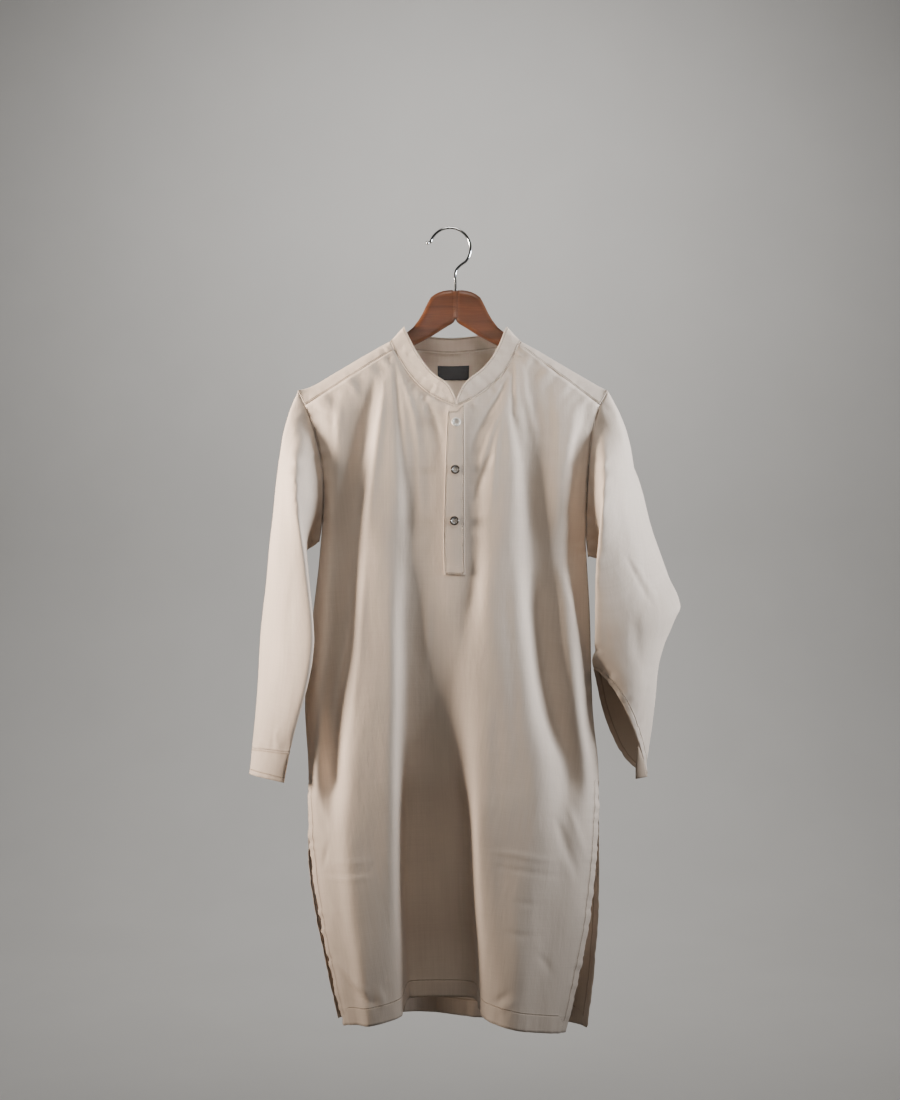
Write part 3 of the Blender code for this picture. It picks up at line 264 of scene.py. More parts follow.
BACK_CREASES = crease_lines(
    # gathers below the yoke
    ((-150, -292, 3, 0), (-147, -330, 6, -1.8), (-150, -400, 9, -2), (-156, -500, 11, 0)),
    ((-118, -290, 3, 0), (-116, -335, 6, 1.8), (-120, -420, 9, 1.8), (-124, -540, 11, 0)),
    ((-80, -288, 3, 0), (-84, -330, 6, -1.6), (-90, -440, 10, -2.2), (-96, -600, 13, 0)),
    ((-38, -287, 3, 0), (-36, -340, 6, 1.5), (-40, -450, 10, 2), (-46, -640, 13, 0)),
    ((4, -287, 3, 0), (6, -335, 6, -1.4), (2, -430, 9, -1.7), (0, -560, 12, 0)),
    ((44, -287, 3, 0), (47, -345, 6, 1.7), (52, -460, 10, 2.1), (58, -650, 13, 0)),
    ((86, -289, 3, 0), (90, -340, 6, -1.8), (98, -430, 9, -2.1), (104, -560, 12, 0)),
    ((124, -291, 3, 0), (128, -350, 7, 1.6), (134, -430, 9, 1.8), (140, -530, 11, 0)),
    ((162, -295, 3, 0), (160, -335, 6, -1.7), (163, -400, 8, -1.8), (168, -480, 10, 0)),
    # folds towards the side seams
    ((-186, -470, 4, 0), (-176, -510, 7, -1.8), (-160, -570, 9, -1.6), (-146, -640, 10, 0)),
    ((196, -478, 4, 0), (188, -520, 7, -1.8), (172, -585, 9, -1.6), (158, -660, 10, 0)),
    ((-150, -800, 6, 0), (-142, -860, 9, 1.8), (-130, -950, 10, 1.6), (-124, -1040, 9, 0)),
    ((150, -800, 6, 0), (146, -850, 8, -1.9), (134, -940, 10, -1.7), (126, -1030, 9, 0)),
    ((-60, -720, 8, 0), (-56, -830, 12, -1.9), (-50, -960, 13, -1.8), (-46, -1100, 11, 0)),
    ((24, -700, 8, 0), (30, -820, 12, 1.8), (34, -950, 13, 1.7), (36, -1090, 11, 0)),
    ((92, -760, 7, 0), (90, -860, 10, 1.5), (84, -980, 11, 1.3), (82, -1090, 9, 0)),
    # pressed bands
    ((-150, -927, 2.5, 0), (-80, -919, 3, 0.7), (0, -917, 3, 0.7),
     (90, -921, 3, 0.7), (160, -930, 2.5, 0)),
    ((-145, -945, 2, 0), (-70, -938, 2.4, -0.6), (10, -936, 2.4, -0.6),
     (95, -940, 2.4, -0.6), (152, -949, 2, 0)),
)

# Where the cloth's kinks are eased below the arms: height, reach and rounds
FRONT_EASE = (-468.0, 34.0, 26)
BACK_EASE = (-468.0, 34.0, 20)
EASE_SHARE = 0.5

# Row of stitches across the placket above its end, seen from the front
PLACKET_CROSSINGS = (((-8.0, -495.0), (20.0, -494.0)),)
CROSSING_STEPS = 20

# Corner of the left sleeve's opening whose turned edge is cut off: middle, reach and the way the edge looks
OPENING_CORNER = ((212, 2, -656), 34, (1, 0, 0))

# Turned end of the left sleeve's hem: its inner and outer edges, from the top down
FLAP_INNER = ((272.5, -21.0, -755.0), (271.0, -18.5, -771.0), (270.2, -13.0, -788.0), (270.8, -7.5, -804.0))
FLAP_OUTER = ((273.5, -20.5, -755.0), (280.0, -14.5, -771.0), (285.2, -6.8, -787.0), (289.0, -1.5, -801.5))
FLAP_ROLL = (1.2, 0.8)       # how far it swells at its top, and by how much more at its tip
FLAP_LIFT = 0.8
FLAP_THICKNESS = 0.9

# Middle line of the hook's wire: radius of the crown, its turn, and the neck down into the wood
WIRE_RADIUS = 1.9
CROWN_RADIUS = 30.0
CROWN_TURN = (163.0, -40.0)
HOOK_TIP = (-32.9, -20.0)
HOOK_BALL = 2.75
CROWN_STEPS = 60
NECK_STEPS = 8
HOOK_NECK = ((22.98, -47.38), (13.5, -54.5), (8.8, -61.0), (7.3, -69.0), (8.0, -81.0), (8.0, -112.0))

# Squared ends of the hanger's arms at their glued joint: width, depth, bottom and top
ARM_END = (3.4, 13.3, -131.6, -91.4)
ARM_JOINT = 0.02             # from the middle line to each arm
ARM_BEVEL = 0.9
ARM_LEAN = 0.55              # slope of the wood's grain, in radians
ARM_CRISP = math.radians(35)

# Buttons: profile from the middle of the face round the rim to the back, and the four holes
BUTTON_PROFILE = (
    (0, 0.35), (2.5, 0.35), (3.4, 0.5), (4.1, 1.15), (4.7, 1.5), (5.4, 1.5), (6.1, 1.15),
    (6.6, 0.5), (6.7, -0.1), (6.5, -0.6), (5.6, -1.0), (4.0, -1.25), (0, -1.3))
BUTTON_RADIUS = max(radius for radius, level in BUTTON_PROFILE)
HOLE_PLACES = ((1.2, 1.2), (-1.2, 1.2), (-1.2, -1.2), (1.2, -1.2))
HOLE_RADIUS = 0.7
HOLE_DEPTH = 6.0
SMOKY_BUTTONS = (2, 3)
BUTTON_CRISP = math.radians(50)
THREAD_LEVEL = Vector((0, 0, 0.5 * MM))
BUTTON_THREAD = (4.0, 0.6)   # length and width

# Stage, in metres. Lights: place, aim, size, power in watts, spread in degrees and colour
LIGHTS = (
    ("left_softbox", (-2.1, -0.24, -0.28), (0, 0, -0.10), 0.7, 25, 62, (1.0, 0.86, 0.74)),
    ("right_softbox", (2.1, -0.32, -0.24), (0, 0, -0.12), 0.7, 13, 62, (0.88, 0.93, 1.0)),
    ("top_softbox", (0.1, -1.2, 1.4), (0, 0, -0.25), 0.9, 3.2, 70, (1.0, 0.97, 0.93)),
    ("neck_softbox", (0.0, -1.7, -0.35), (0, 0, -0.18), 0.1, 0.019, 7, (1.0, 0.95, 0.9)),
    ("wall_softbox", (0.0, 1.6, 1.6), (0, 3.9, -0.6), 1.6, 60, 150, (1.0, 0.98, 0.96)),
)
ROOM_LIGHT = 0.03
CAMERA_PLACE = (0.0, -2.3, -0.470)
FLOOR_HALF = 5.0
FLOOR_SHIFT = -1.0
WALL_HEIGHT = 5.0
WALL_CURVE = 1.4


class KurtaCloth(bpy.types.PropertyGroup):
    cotton: bpy.props.FloatVectorProperty(
        name="Cotton", description="Colour of the cloth", subtype="COLOR", size=3,
        default=(0.80, 0.665, 0.55), min=0, max=1)
    thread: bpy.props.FloatVectorProperty(
        name="Thread", description="Colour of the sewing thread", subtype="COLOR", size=3,
        default=(0.84, 0.75, 0.64), min=0, max=1)
    sheen: bpy.props.FloatProperty(
        name="Sheen", description="Strength of the cloth's soft sheen", default=0.2, min=0, max=1,
        subtype="FACTOR")
    creasing: bpy.props.FloatProperty(
        name="Creasing", description="Strength of the creases laid by hand", default=1.0, min=0, max=2,
        subtype="FACTOR")


class KurtaTrim(bpy.types.PropertyGroup):
    label: bpy.props.FloatVectorProperty(
        name="Label", description="Colour of the neck label", subtype="COLOR", size=3,
        default=(0.012, 0.012, 0.014), min=0, max=1)
    shell: bpy.props.FloatVectorProperty(
        name="Shell", description="Colour of the buttons' faces", subtype="COLOR", size=3,
        default=(0.78, 0.75, 0.69), min=0, max=1)
    # partly painted shade: darkens the smoky buttons' rims, for their own smoky tone and for the shade the
    # light leaves on the rim
    rim_tone_and_shade: bpy.props.FloatVectorProperty(
        name="Shell rim", description="Colour of the smoky buttons' rims", subtype="COLOR", size=3,
        default=(0.10, 0.082, 0.07), min=0, max=1)


class KurtaHanger(bpy.types.PropertyGroup):
    wood: bpy.props.FloatVectorProperty(
        name="Wood", description="Colour of the hanger's wood", subtype="COLOR", size=3,
        default=(0.14, 0.049, 0.018), min=0, max=1)
    wire: bpy.props.FloatVectorProperty(
        name="Wire", description="Colour of the hook's wire", subtype="COLOR", size=3,
        default=(0.82, 0.82, 0.82), min=0, max=1)


class KurtaStage(bpy.types.PropertyGroup):
    floor: bpy.props.FloatVectorProperty(
        name="Floor", description="Colour of the floor", subtype="COLOR", size=3,
        default=(0.66, 0.65, 0.63), min=0, max=1)
    floor_height: bpy.props.FloatProperty(
        name="Floor height", description="Height of the floor", default=-1.75, subtype="DISTANCE",
        unit="LENGTH")
    lens: bpy.props.FloatProperty(
        name="Lens", description="Focal length of the camera", default=51.38, min=10, max=200)


def looks(group):
    return getattr(bpy.context.scene, group)


def placed(name, data):
    item = bpy.data.objects.new(name, data)
    bpy.context.scene.collection.objects.link(item)
    return item


def discard(item):
    data = item.data
    bpy.data.objects.remove(item)
    bpy.data.batch_remove([data])


def finished_shape(item):
    """The mesh that a curve or an object's modifiers give; the object itself goes."""
    bpy.context.view_layer.update()
    now = bpy.context.evaluated_depsgraph_get()
    mesh = bpy.data.meshes.new_from_object(item.evaluated_get(now), preserve_all_data_layers=True,
                                           depsgraph=now)
    discard(item)
    return mesh


def read_values(items, field, width, kind=float):
    """A row of values for each item."""
    values = np.empty(len(items) * width, dtype=kind)
    items.foreach_get(field, values)
    return values.reshape(-1, width)


def outer_side(node, outward):
    """The outer side of one solid's wall, without its rim."""
    side = bmesh.new()
    side.from_mesh(frame["nodes"][node].data)
    bmesh.ops.remove_doubles(side, verts=side.verts, dist=SAME_POINT * MM)
    short = {edge for edge in side.edges if edge.calc_length() < WALL_EDGE * MM and crosses_wall(edge)}
    rim = [face for face in side.faces if any(edge in short for edge in face.edges)]
    bmesh.ops.delete(side, geom=rim, context="FACES_ONLY")
    bmesh.ops.delete(side, geom=[edge for edge in side.edges if not edge.link_faces], context="EDGES")
    sides = islands(side)
    if outward is None:
        sides.sort(key=lambda faces: sum(face.calc_area() for face in faces))
    else:
        direction = Vector(outward)
        sides.sort(key=lambda faces: sum(face.calc_area() * face.normal.dot(direction) for face in faces))
    kept = set(sides[-1])
    bmesh.ops.delete(side, geom=[face for face in side.faces if face not in kept], context="FACES")
    return side


def crosses_wall(edge):
    """Whether a short edge runs from one side of a wall to the other."""
    turns = [face.normal for face in edge.link_faces]
    along = (edge.verts[1].co - edge.verts[0].co).normalized()
    return len(turns) == 2 and all(abs(along.dot(turn)) < SQUARE_TO_WALL for turn in turns)


def islands(sheet):
    """Groups of joined faces."""
    groups = []
    seen = set()
    for first in sheet.faces:
        if first in seen:
            continue
        seen.add(first)
        waiting = [first]
        group = []
        while waiting:
            face = waiting.pop()
            group.append(face)
            for edge in face.edges:
                for other in edge.link_faces:
                    if other not in seen:
                        seen.add(other)
                        waiting.append(other)
        groups.append(group)
    return groups


def outer_face(piece):
    """The outer face of a cut piece as one sheet of four-sided cells."""
    sheet = bmesh.new()
    for node in piece.nodes:
        side = outer_side(node, piece.outward)
        part = bpy.data.meshes.new(node + "_side")
        side.to_mesh(part)
        side.free()
        sheet.from_mesh(part)
        bpy.data.meshes.remove(part)
    bmesh.ops.remove_doubles(sheet, verts=sheet.verts, dist=THREAD_GAP * MM)
    bmesh.ops.join_triangles(sheet, faces=sheet.faces, angle_face_threshold=math.pi,
                             angle_shape_threshold=math.pi, topology_influence=2.0)
    sheet.normal_update()
    if piece.cuts:
        upright = [edge for edge in sheet.edges
                   if abs(edge.verts[0].co.z - edge.verts[1].co.z) > UPRIGHT * edge.calc_length()]
        bmesh.ops.subdivide_edges(sheet, edges=upright, cuts=piece.cuts, use_grid_fill=True)
    return sheet


def trim_corner(sheet, middle, reach, turned_way):
    """Cut the turned edge off an opening's corner and ease the outline left there."""
    middle = Vector(middle) * MM
    near = [face for face in sheet.faces if (face.calc_center_median() - middle).length < reach * MM]
    turned = [face for face in near if face.normal.dot(Vector(turned_way)) > TURNED_SHARE]
    bmesh.ops.delete(sheet, geom=turned, context="FACES")
    for _ in range(CORNER_ROUNDS):
        eased = {}
        for vert in sheet.verts:
            if vert.is_boundary and (vert.co - middle).length < reach * MM:
                ends = [edge.other_vert(vert).co for edge in vert.link_edges if edge.is_boundary]
                if len(ends) == 2:
                    eased[vert] = vert.co * 0.5 + (ends[0] + ends[1]) * 0.25
        for vert, spot in eased.items():
            vert.co = spot
    sheet.normal_update()


def keep_corners(sheet):
    """Mark the sharp corners of a piece's outline, so that rounding leaves them where they meet."""
    kept = sheet.verts.layers.float.new("crease_vert")
    for vert in sheet.verts:
        rim = [edge for edge in vert.link_edges if edge.is_boundary]
        if len(rim) == 2:
            before, after = (edge.other_vert(vert).co - vert.co for edge in rim)
            if math.pi - before.angle(after) > math.radians(CORNER_TURN):
                vert[kept] = 1.0


def mark_tube_seam(sheet):
    """Mark a seam down a tube, from the lowest point of its top edge to its other edge."""
    rim = {vert for vert in sheet.verts if vert.is_boundary}
    loop = [max(rim, key=lambda vert: vert.co.z)]
    top = set(loop)
    while loop:
        vert = loop.pop()
        for edge in vert.link_edges:
            other = edge.other_vert(vert)
            if edge.is_boundary and other not in top:
                top.add(other)
                loop.append(other)
    if top == rim:
        return
    vert = min(top, key=lambda vert: vert.co.z)
    walked = {vert}
    while vert not in rim - top:
        ways = [edge for edge in vert.link_edges
                if not edge.is_boundary and edge.other_vert(vert) not in walked]
        if not ways:
            return
        edge = min(ways, key=lambda way: (way.other_vert(vert).co.z - vert.co.z) / way.calc_length())
        edge.seam = True
        vert = edge.other_vert(vert)
        walked.add(vert)


def lay_flat(holder):
    """Unwrap a sheet and scale its map to metres, with its length upright; gives width, length and area."""
    bpy.context.view_layer.objects.active = holder
    holder.select_set(True)
    bpy.ops.object.mode_set(mode="EDIT")
    bpy.ops.mesh.select_all(action="SELECT")
    bpy.ops.uv.unwrap(method="ANGLE_BASED", margin=0.0)
    bpy.ops.object.mode_set(mode="OBJECT")
    holder.select_set(False)
    data = holder.data
    flat = read_values(data.uv_layers.active.data, "uv", 2)
    spots = read_values(data.loops, "vertex_index", 1, int)[:, 0]
    height = read_values(data.vertices, "co", 3)[spots, 2]
    data.calc_loop_triangles()
    corners = read_values(data.loop_triangles, "loops", 3, int)
    a, b, c = (flat[corners[:, k]] for k in range(3))
    flat_area = np.abs((b - a)[:, 0] * (c - a)[:, 1] - (b - a)[:, 1] * (c - a)[:, 0]).sum() / 2
    area = sum(face.area for face in data.polygons)
    flat = (flat - flat.mean(axis=0)) * math.sqrt(area / flat_area)
    slope = np.linalg.lstsq(flat, height - height.mean(), rcond=None)[0]
    up = slope / np.linalg.norm(slope)
    flat = np.stack([flat @ np.array([up[1], -up[0]]), flat @ up], axis=1)
    data.uv_layers.active.data.foreach_set("uv", flat.ravel())
    width, length = flat.max(axis=0) - flat.min(axis=0)
    return width, length, area


def refined(sheet, name, level):
    """Round a sheet's cells into smooth cloth; gives the mesh and its flat width, length and area."""
    keep_corners(sheet)
    coarse = bpy.data.meshes.new(name + "_coarse")
    sheet.to_mesh(coarse)
    sheet.free()
    holder = placed(name + "_coarse", coarse)
    cut = lay_flat(holder)
    rounding = holder.modifiers.new("Rounding", "SUBSURF")
    rounding.levels = level
    rounding.render_levels = level
    rounding.boundary_smooth = "PRESERVE_CORNERS"
    fine = finished_shape(holder)
    fine.name = name
    return fine, cut


def read_points(mesh):
    return read_values(mesh.vertices, "co", 3) / MM, read_values(mesh.vertices, "normal", 3)


def write_points(mesh, points):
    mesh.vertices.foreach_set("co", (points * MM).ravel())
    mesh.update()


def edge_lists(mesh):
    """Ends of each edge, and which edges are on the piece's outline."""
    ends = read_values(mesh.edges, "vertices", 2, int)
    used = read_values(mesh.loops, "edge_index", 1, int)[:, 0]
    return ends, np.bincount(used, minlength=len(mesh.edges)) == 1


def outline_length(mesh):
    """Length of a piece's outline; half of it is the length of a narrow band."""
    ends, outline = edge_lists(mesh)
    points = read_values(mesh.vertices, "co", 3)
    rim = ends[outline]
    return float(np.linalg.norm(points[rim[:, 1]] - points[rim[:, 0]], axis=1).sum())


def relaxed(mesh, points, share, rounds):
    """Ease kinks out of the cloth, by a share given for each point, with the outline held."""
    ends, outline = edge_lists(mesh)
    count = len(points)
    degree = np.bincount(ends.ravel(), minlength=count)[:, None]
    share = share.copy()
    share[ends[outline].ravel()] = 0
    for _ in range(rounds):
        around = np.stack([np.bincount(ends[:, 0], points[ends[:, 1], axis], count)
                           + np.bincount(ends[:, 1], points[ends[:, 0], axis], count)
                           for axis in range(3)], axis=1)
        points = points + (around / degree - points) * share[:, None]
    return points


def crease_heights(points, creases, facing):
    """How far each point is lifted by creases that run over it, seen from the front or the back."""
    total = np.zeros(len(points))
    for line in creases:
        best = np.full(len(points), 1e9)
        lift = np.zeros(len(points))
        for start, end in zip(line, line[1:]):
            dx, dz = end.x - start.x, end.z - start.z
            share = ((points[:, 0] - start.x) * dx + (points[:, 2] - start.z) * dz) / (dx * dx + dz * dz)
            share = np.clip(share, 0, 1)
            away = np.hypot(points[:, 0] - start.x - share * dx, points[:, 2] - start.z - share * dz)
            reach = start.reach + share * (end.reach - start.reach)
            rise = start.rise + share * (end.rise - start.rise)
            nearer = away < best
            best = np.where(nearer, away, best)
            lift = np.where(nearer, rise * np.exp(-(away / reach) ** 2), lift)
        total += lift
    return total * np.clip(facing * 2, 0, 1) * looks("kurta_cloth").creasing


def slow_waves(points, height, seed):
    """Uneven, mostly upright waves of the hanging cloth."""
    tall = WAVE_LENGTH * WAVE_STRETCH
    return height * np.array([noise.noise(Vector((x / WAVE_LENGTH, y / WAVE_LENGTH, z / tall + seed)))
                              for x, y, z in points])


def edging_at(point, along, edgings):
    """Edging that holds at a point of the outline, in millimetres."""
    away = abs(point[0] - CENTRE)
    upright = abs(along[2]) > UPRIGHT
    for edging in edgings:
        if edging.low <= point[2] <= edging.high and edging.near <= away <= edging.far:
            if edging.upright is None or edging.upright == upright:
                return edging
    return None


def edge_heights(mesh, points, edgings):
    """Puckers along seams and hems and the lift of turned bands; notes how far the stitches are."""
    ends, outline = edge_lists(mesh)
    rim = ends[outline]
    middles = (points[rim[:, 0]] + points[rim[:, 1]]) / 2
    along = points[rim[:, 1]] - points[rim[:, 0]]
    along /= np.linalg.norm(along, axis=1)[:, None]
    found = [edging_at(middle, way, edgings) for middle, way in zip(middles, along)]
    tree = KDTree(len(rim))
    for index, middle in enumerate(middles):
        tree.insert(middle, index)
    tree.balance()
    lift = np.zeros(len(points))
    from_stitches = np.full(len(points), NO_STITCHES)
    for index, point in enumerate(points):
        middle, nearest, away = tree.find(point)
        edging = found[nearest]
        if edging is None or away > max(edging.reach * PUCKER_END, edging.band + BAND_MARGIN):
            continue
        slide = float(np.dot(point - middles[nearest], along[nearest]))
        away = math.sqrt(max(0.0, away * away - slide * slide))
        if edging.stitches:
            from_stitches[index] = away - edging.stitches[0]
        spot = (middles[nearest] + along[nearest] * slide) / edging.spacing
        wave = noise.noise(Vector(spot)) * PUCKER_SWELL
        held = 1.0 if edging.free else 1.0 - math.exp(-(away / SEAM_HOLD) ** 2)
        lift[index] = wave * edging.pucker * held * math.exp(-(away / edging.reach) ** 2)
        if edging.band:
            lift[index] += BAND_LIFT / (1 + math.exp((away - edging.band) * BAND_STEP))
    row = mesh.attributes.new("from_stitches", "FLOAT", "POINT")
    row.data.foreach_set("value", from_stitches)
    return lift


def add_piece(name, mesh, nodes, material):
    """A finished mesh as a piece of the garment, in place of the given nodes."""
    mesh.materials.clear()
    mesh.materials.append(material)
    mesh.shade_smooth()
    piece = placed(name, mesh)
    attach(piece, "root")
    if nodes:
        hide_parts(*nodes)
    return piece


def mesh_from(sheet, name):
    data = bpy.data.meshes.new(name)
    sheet.to_mesh(data)
    sheet.free()
    return data


def outline_chains(sheet):
    """Points of each outline loop, in order."""
    waiting = {vert for vert in sheet.verts if vert.is_boundary}
    chains = []
    while waiting:
        vert = min(waiting, key=lambda spot: spot.index)
        chain = []
        while vert is not None:
            chain.append(vert)
            waiting.discard(vert)
            after = [edge.other_vert(vert) for edge in vert.link_edges if edge.is_boundary]
            vert = next((other for other in after if other in waiting), None)
        chains.append(chain)
    return chains


def inward(vert, along):
    """Way from the outline into the piece, along the cloth."""
    middle = sum((face.calc_center_median() for face in vert.link_faces), Vector()) / len(vert.link_faces)
    way = middle - vert.co
    return (way - along * way.dot(along)).normalized()


def stitch_paths(sheet, edgings):
    """Lines that rows of stitches follow, inside the outline."""
    paths = []
    for chain in outline_chains(sheet):
        rows = {}
        for index, vert in enumerate(chain):
            before, after = chain[index - 1], chain[(index + 1) % len(chain)]
            along = (after.co - before.co).normalized()
            edging = edging_at(vert.co / MM, along, edgings)
            for inset in edging.stitches if edging else ():
                spot = vert.co + inward(vert, along) * inset * MM
                rows.setdefault(inset, []).append((index, spot))
        for row in rows.values():
            path = [row[0][1]]
            for (index, _), (after, spot) in zip(row, row[1:]):
                if after != index + 1:
                    paths.append(path)
                    path = []
                path.append(spot)
            paths.append(path)
    return paths


def crossing_path(start, end, tree):
    """A straight row of stitches seen from the front, laid on the cloth."""
    path = []
    for step in range(CROSSING_STEPS + 1):
        x = start[0] + (end[0] - start[0]) * step / CROSSING_STEPS
        z = start[1] + (end[1] - start[1]) * step / CROSSING_STEPS
        spot = tree.ray_cast(Vector((x * MM, -1.0, z * MM)), Vector((0, 1, 0)))[0]
        if spot is not None:
            path.append(spot)
    return path


def sew_stitches(name, mesh, edgings, crossings=()):
    """Rows of stitches on a piece, as one mesh of short threads."""
    sheet = bmesh.new()
    sheet.from_mesh(mesh)
    tree = BVHTree.FromBMesh(sheet)
    paths = stitch_paths(sheet, edgings)
    paths += [crossing_path(start, end, tree) for start, end in crossings]
    sheet.free()
    thread = bmesh.new()
    for path in paths:
        left = STITCH_STEP * MM / 2
        for start, end in zip(path, path[1:]):
            length = (end - start).length
            if length > STITCH_BREAK * MM:
                continue
            while left < length:
                place = start.lerp(end, left / length)
                spot, normal, _, away = tree.find_nearest(place)
                if away < STITCH_REACH * MM:
                    add_stitch(thread, spot, normal, end - start, STITCH_LENGTH, THREAD_WIDTH)
                left += STITCH_STEP * MM
            left -= length
    return add_piece(name, mesh_from(thread, name), (), thread_material())


def add_stitch(thread, spot, normal, along, length, width, rounds=1):
    """One short thread lying on the cloth."""
    across = normal.cross(along).normalized()
    along = across.cross(normal).normalized()
    turn = Matrix((along, across, normal)).transposed().to_4x4()
    size = Matrix.Diagonal((length * MM / 2, width * MM / 2, width * MM * 0.36, 1))
    place = Matrix.Translation(spot + normal * width * MM * 0.12)
    bmesh.ops.create_icosphere(thread, subdivisions=rounds, radius=1.0, matrix=place @ turn @ size)


def sew_piece(name, creases=(), crossings=(), seed=0.0, ease=None, corner=None, trims=(), material=None):
    """Make one cut piece as cloth, with its creases, puckers, thickness and stitches."""
    cut_piece = CUT_PIECES[name]
    sheet = outer_face(cut_piece)
    if corner is not None:
        trim_corner(sheet, *corner)
    if cut_piece.outward is None:
        mark_tube_seam(sheet)
    mesh, (width, length, area) = refined(sheet, "cloth_" + name, cut_piece.level)
    points, normals = read_points(mesh)
    if ease is not None:
        height, reach, rounds = ease
        share = EASE_SHARE * np.exp(-((points[:, 2] - height) / reach) ** 2)
        points = relaxed(mesh, points, share, rounds)
        write_points(mesh, points)
        points, normals = read_points(mesh)
    facing = normals[:, 1] if name == "back" else -normals[:, 1]
    lift = crease_heights(points, creases, facing) + edge_heights(mesh, points, EDGINGS[name])
    lift += slow_waves(points, cut_piece.waves, seed)
    write_points(mesh, points + normals * lift[:, None])
    with_pieces = list(trims)
    if any(edging.stitches for edging in EDGINGS[name]):
        with_pieces.append(sew_stitches("stitches_" + name, mesh, EDGINGS[name], crossings))
    piece = add_piece("cloth_" + name, mesh, cut_piece.nodes, material or cotton_material())
    wall = piece.modifiers.new("Cloth", "SOLIDIFY")
    wall.thickness = cut_piece.thickness * MM
    wall.offset = -1
    if area < 0.5 * width * length:
        width = outline_length(mesh) / 2
        length = area / width
    return piece


def new_material(name):
    material = bpy.data.materials.new(name)
    material.use_nodes = True
    return material, material.node_tree, material.node_tree.nodes["Principled BSDF"]


def scaled_noise(tree, scale, stretch, detail=3.0, rough=0.55, turn=(0, 0, 0), follow="Object"):
    """Height of a noise on the piece's own coordinates or its flat map, drawn out along its axes."""
    place = tree.nodes.new("ShaderNodeTexCoord")
    mapping = tree.nodes.new("ShaderNodeMapping")
    mapping.inputs["Scale"].default_value = stretch
    mapping.inputs["Rotation"].default_value = turn
    tree.links.new(place.outputs[follow], mapping.inputs["Vector"])
    grain = tree.nodes.new("ShaderNodeTexNoise")
    grain.inputs["Scale"].default_value = scale
    grain.inputs["Detail"].default_value = detail
    grain.inputs["Roughness"].default_value = rough
    tree.links.new(mapping.outputs["Vector"], grain.inputs["Vector"])
    return grain.outputs["Fac"]


def blend_colour(tree, factor, dark, light, low=0.35, high=0.65):
    ramp = tree.nodes.new("ShaderNodeValToRGB")
    ramp.color_ramp.elements[0].position = low
    ramp.color_ramp.elements[0].color = (*dark, 1)
    ramp.color_ramp.elements[1].position = high
    ramp.color_ramp.elements[1].color = (*light, 1)
    tree.links.new(factor, ramp.inputs["Fac"])
    return ramp.outputs["Color"]


def mixed_colours(tree, first, second, factor, mode="MULTIPLY"):
    mix = tree.nodes.new("ShaderNodeMix")
    mix.data_type = "RGBA"
    mix.blend_type = mode
    mix.inputs[0].default_value = factor
    tree.links.new(first, mix.inputs[6])
    tree.links.new(second, mix.inputs[7])
    return mix.outputs[2]


def finish_surface(tree, shader, colour, sockets, *layers):
    """Colour and polish of a surface, and what raises it: the height, strength and distance of each layer."""
    tree.links.new(colour, shader.inputs["Base Color"])
    for socket, value in sockets.items():
        shader.inputs[socket].default_value = value
    before = None
    for height, strength, distance in layers:
        bump = tree.nodes.new("ShaderNodeBump")
        bump.inputs["Strength"].default_value = strength
        bump.inputs["Distance"].default_value = distance
        tree.links.new(height, bump.inputs["Height"])
        if before is not None:
            tree.links.new(before.outputs["Normal"], bump.inputs["Normal"])
        before = bump
    if before is not None:
        tree.links.new(before.outputs["Normal"], shader.inputs["Normal"])


def tinted(colour, share):
    return [min(1.0, value * share) for value in colour]


def cotton_material():
    """Fine plain-woven cotton: uneven threads both ways, soft rumples and a slight sheen."""
    if "kurta_cotton" in bpy.data.materials:
        return bpy.data.materials["kurta_cotton"]
    cloth = looks("kurta_cloth")
    material, tree, shader = new_material("kurta_cotton")
    base = tuple(cloth.cotton)
    patches = scaled_noise(tree, 14.0, (1, 1, 0.6), detail=2.0)
    warp = scaled_noise(tree, 1100.0, (1, 0.012, 1), detail=2.0, follow="UV")
    weft = scaled_noise(tree, 1100.0, (0.012, 1, 1), detail=2.0, follow="UV")
    slubs = scaled_noise(tree, 260.0, (1, 0.03, 1), detail=3.0, follow="UV")
    colour = blend_colour(tree, patches, tinted(base, 0.965), tinted(base, 1.03))
    for threads, shade, share in ((warp, (0.90, 0.89, 0.87), 0.5), (weft, (0.91, 0.90, 0.88), 0.5),
                                  (slubs, (0.955, 0.95, 0.94), 0.8)):
        colour = mixed_colours(tree, colour, blend_colour(tree, threads, shade, (1, 1, 1)), share)
    furrow_depth_and_shade, folded = stitch_row(tree)
    # painted shade: the cloth is darkened along each row of stitches, standing in for the shade in its sunken
    # furrow
    furrow_painted_shade = blend_colour(tree, furrow_depth_and_shade, (0.69, 0.635, 0.575), (1, 1, 1), 0, 0.9)
    rumple = scaled_noise(tree, 60.0, (1, 1, 0.35), detail=4.0, rough=0.6)
    finish_surface(tree, shader, mixed_colours(tree, colour, furrow_painted_shade, 1.0),
                   {"Roughness": 0.72, "Specular IOR Level": 0.35, "Sheen Weight": cloth.sheen,
                    "Sheen Roughness": 0.45},
                   (warp, 0.35, 0.00025), (weft, 0.35, 0.00025), (slubs, 0.2, 0.0003),
                   (rumple, 0.45, 0.0018), (furrow_depth_and_shade, 0.9, 0.0010), (folded, 0.8, 0.0005))
    return material


def stitch_row(tree):
    """How far the cloth is drawn in along a row of stitches, sunk and painted with shade, and its double fold
    from there to the edge.
    """
    row = tree.nodes.new("ShaderNodeAttribute")
    row.attribute_name = "from_stitches"
    away = tree.nodes.new("ShaderNodeMath")
    away.operation = "ABSOLUTE"
    tree.links.new(row.outputs["Fac"], away.inputs[0])
    return eased(tree, away.outputs[0], 0.0, 1.7, 0, 1), eased(tree, row.outputs["Fac"], 0.9, 2.0, 1, 0)


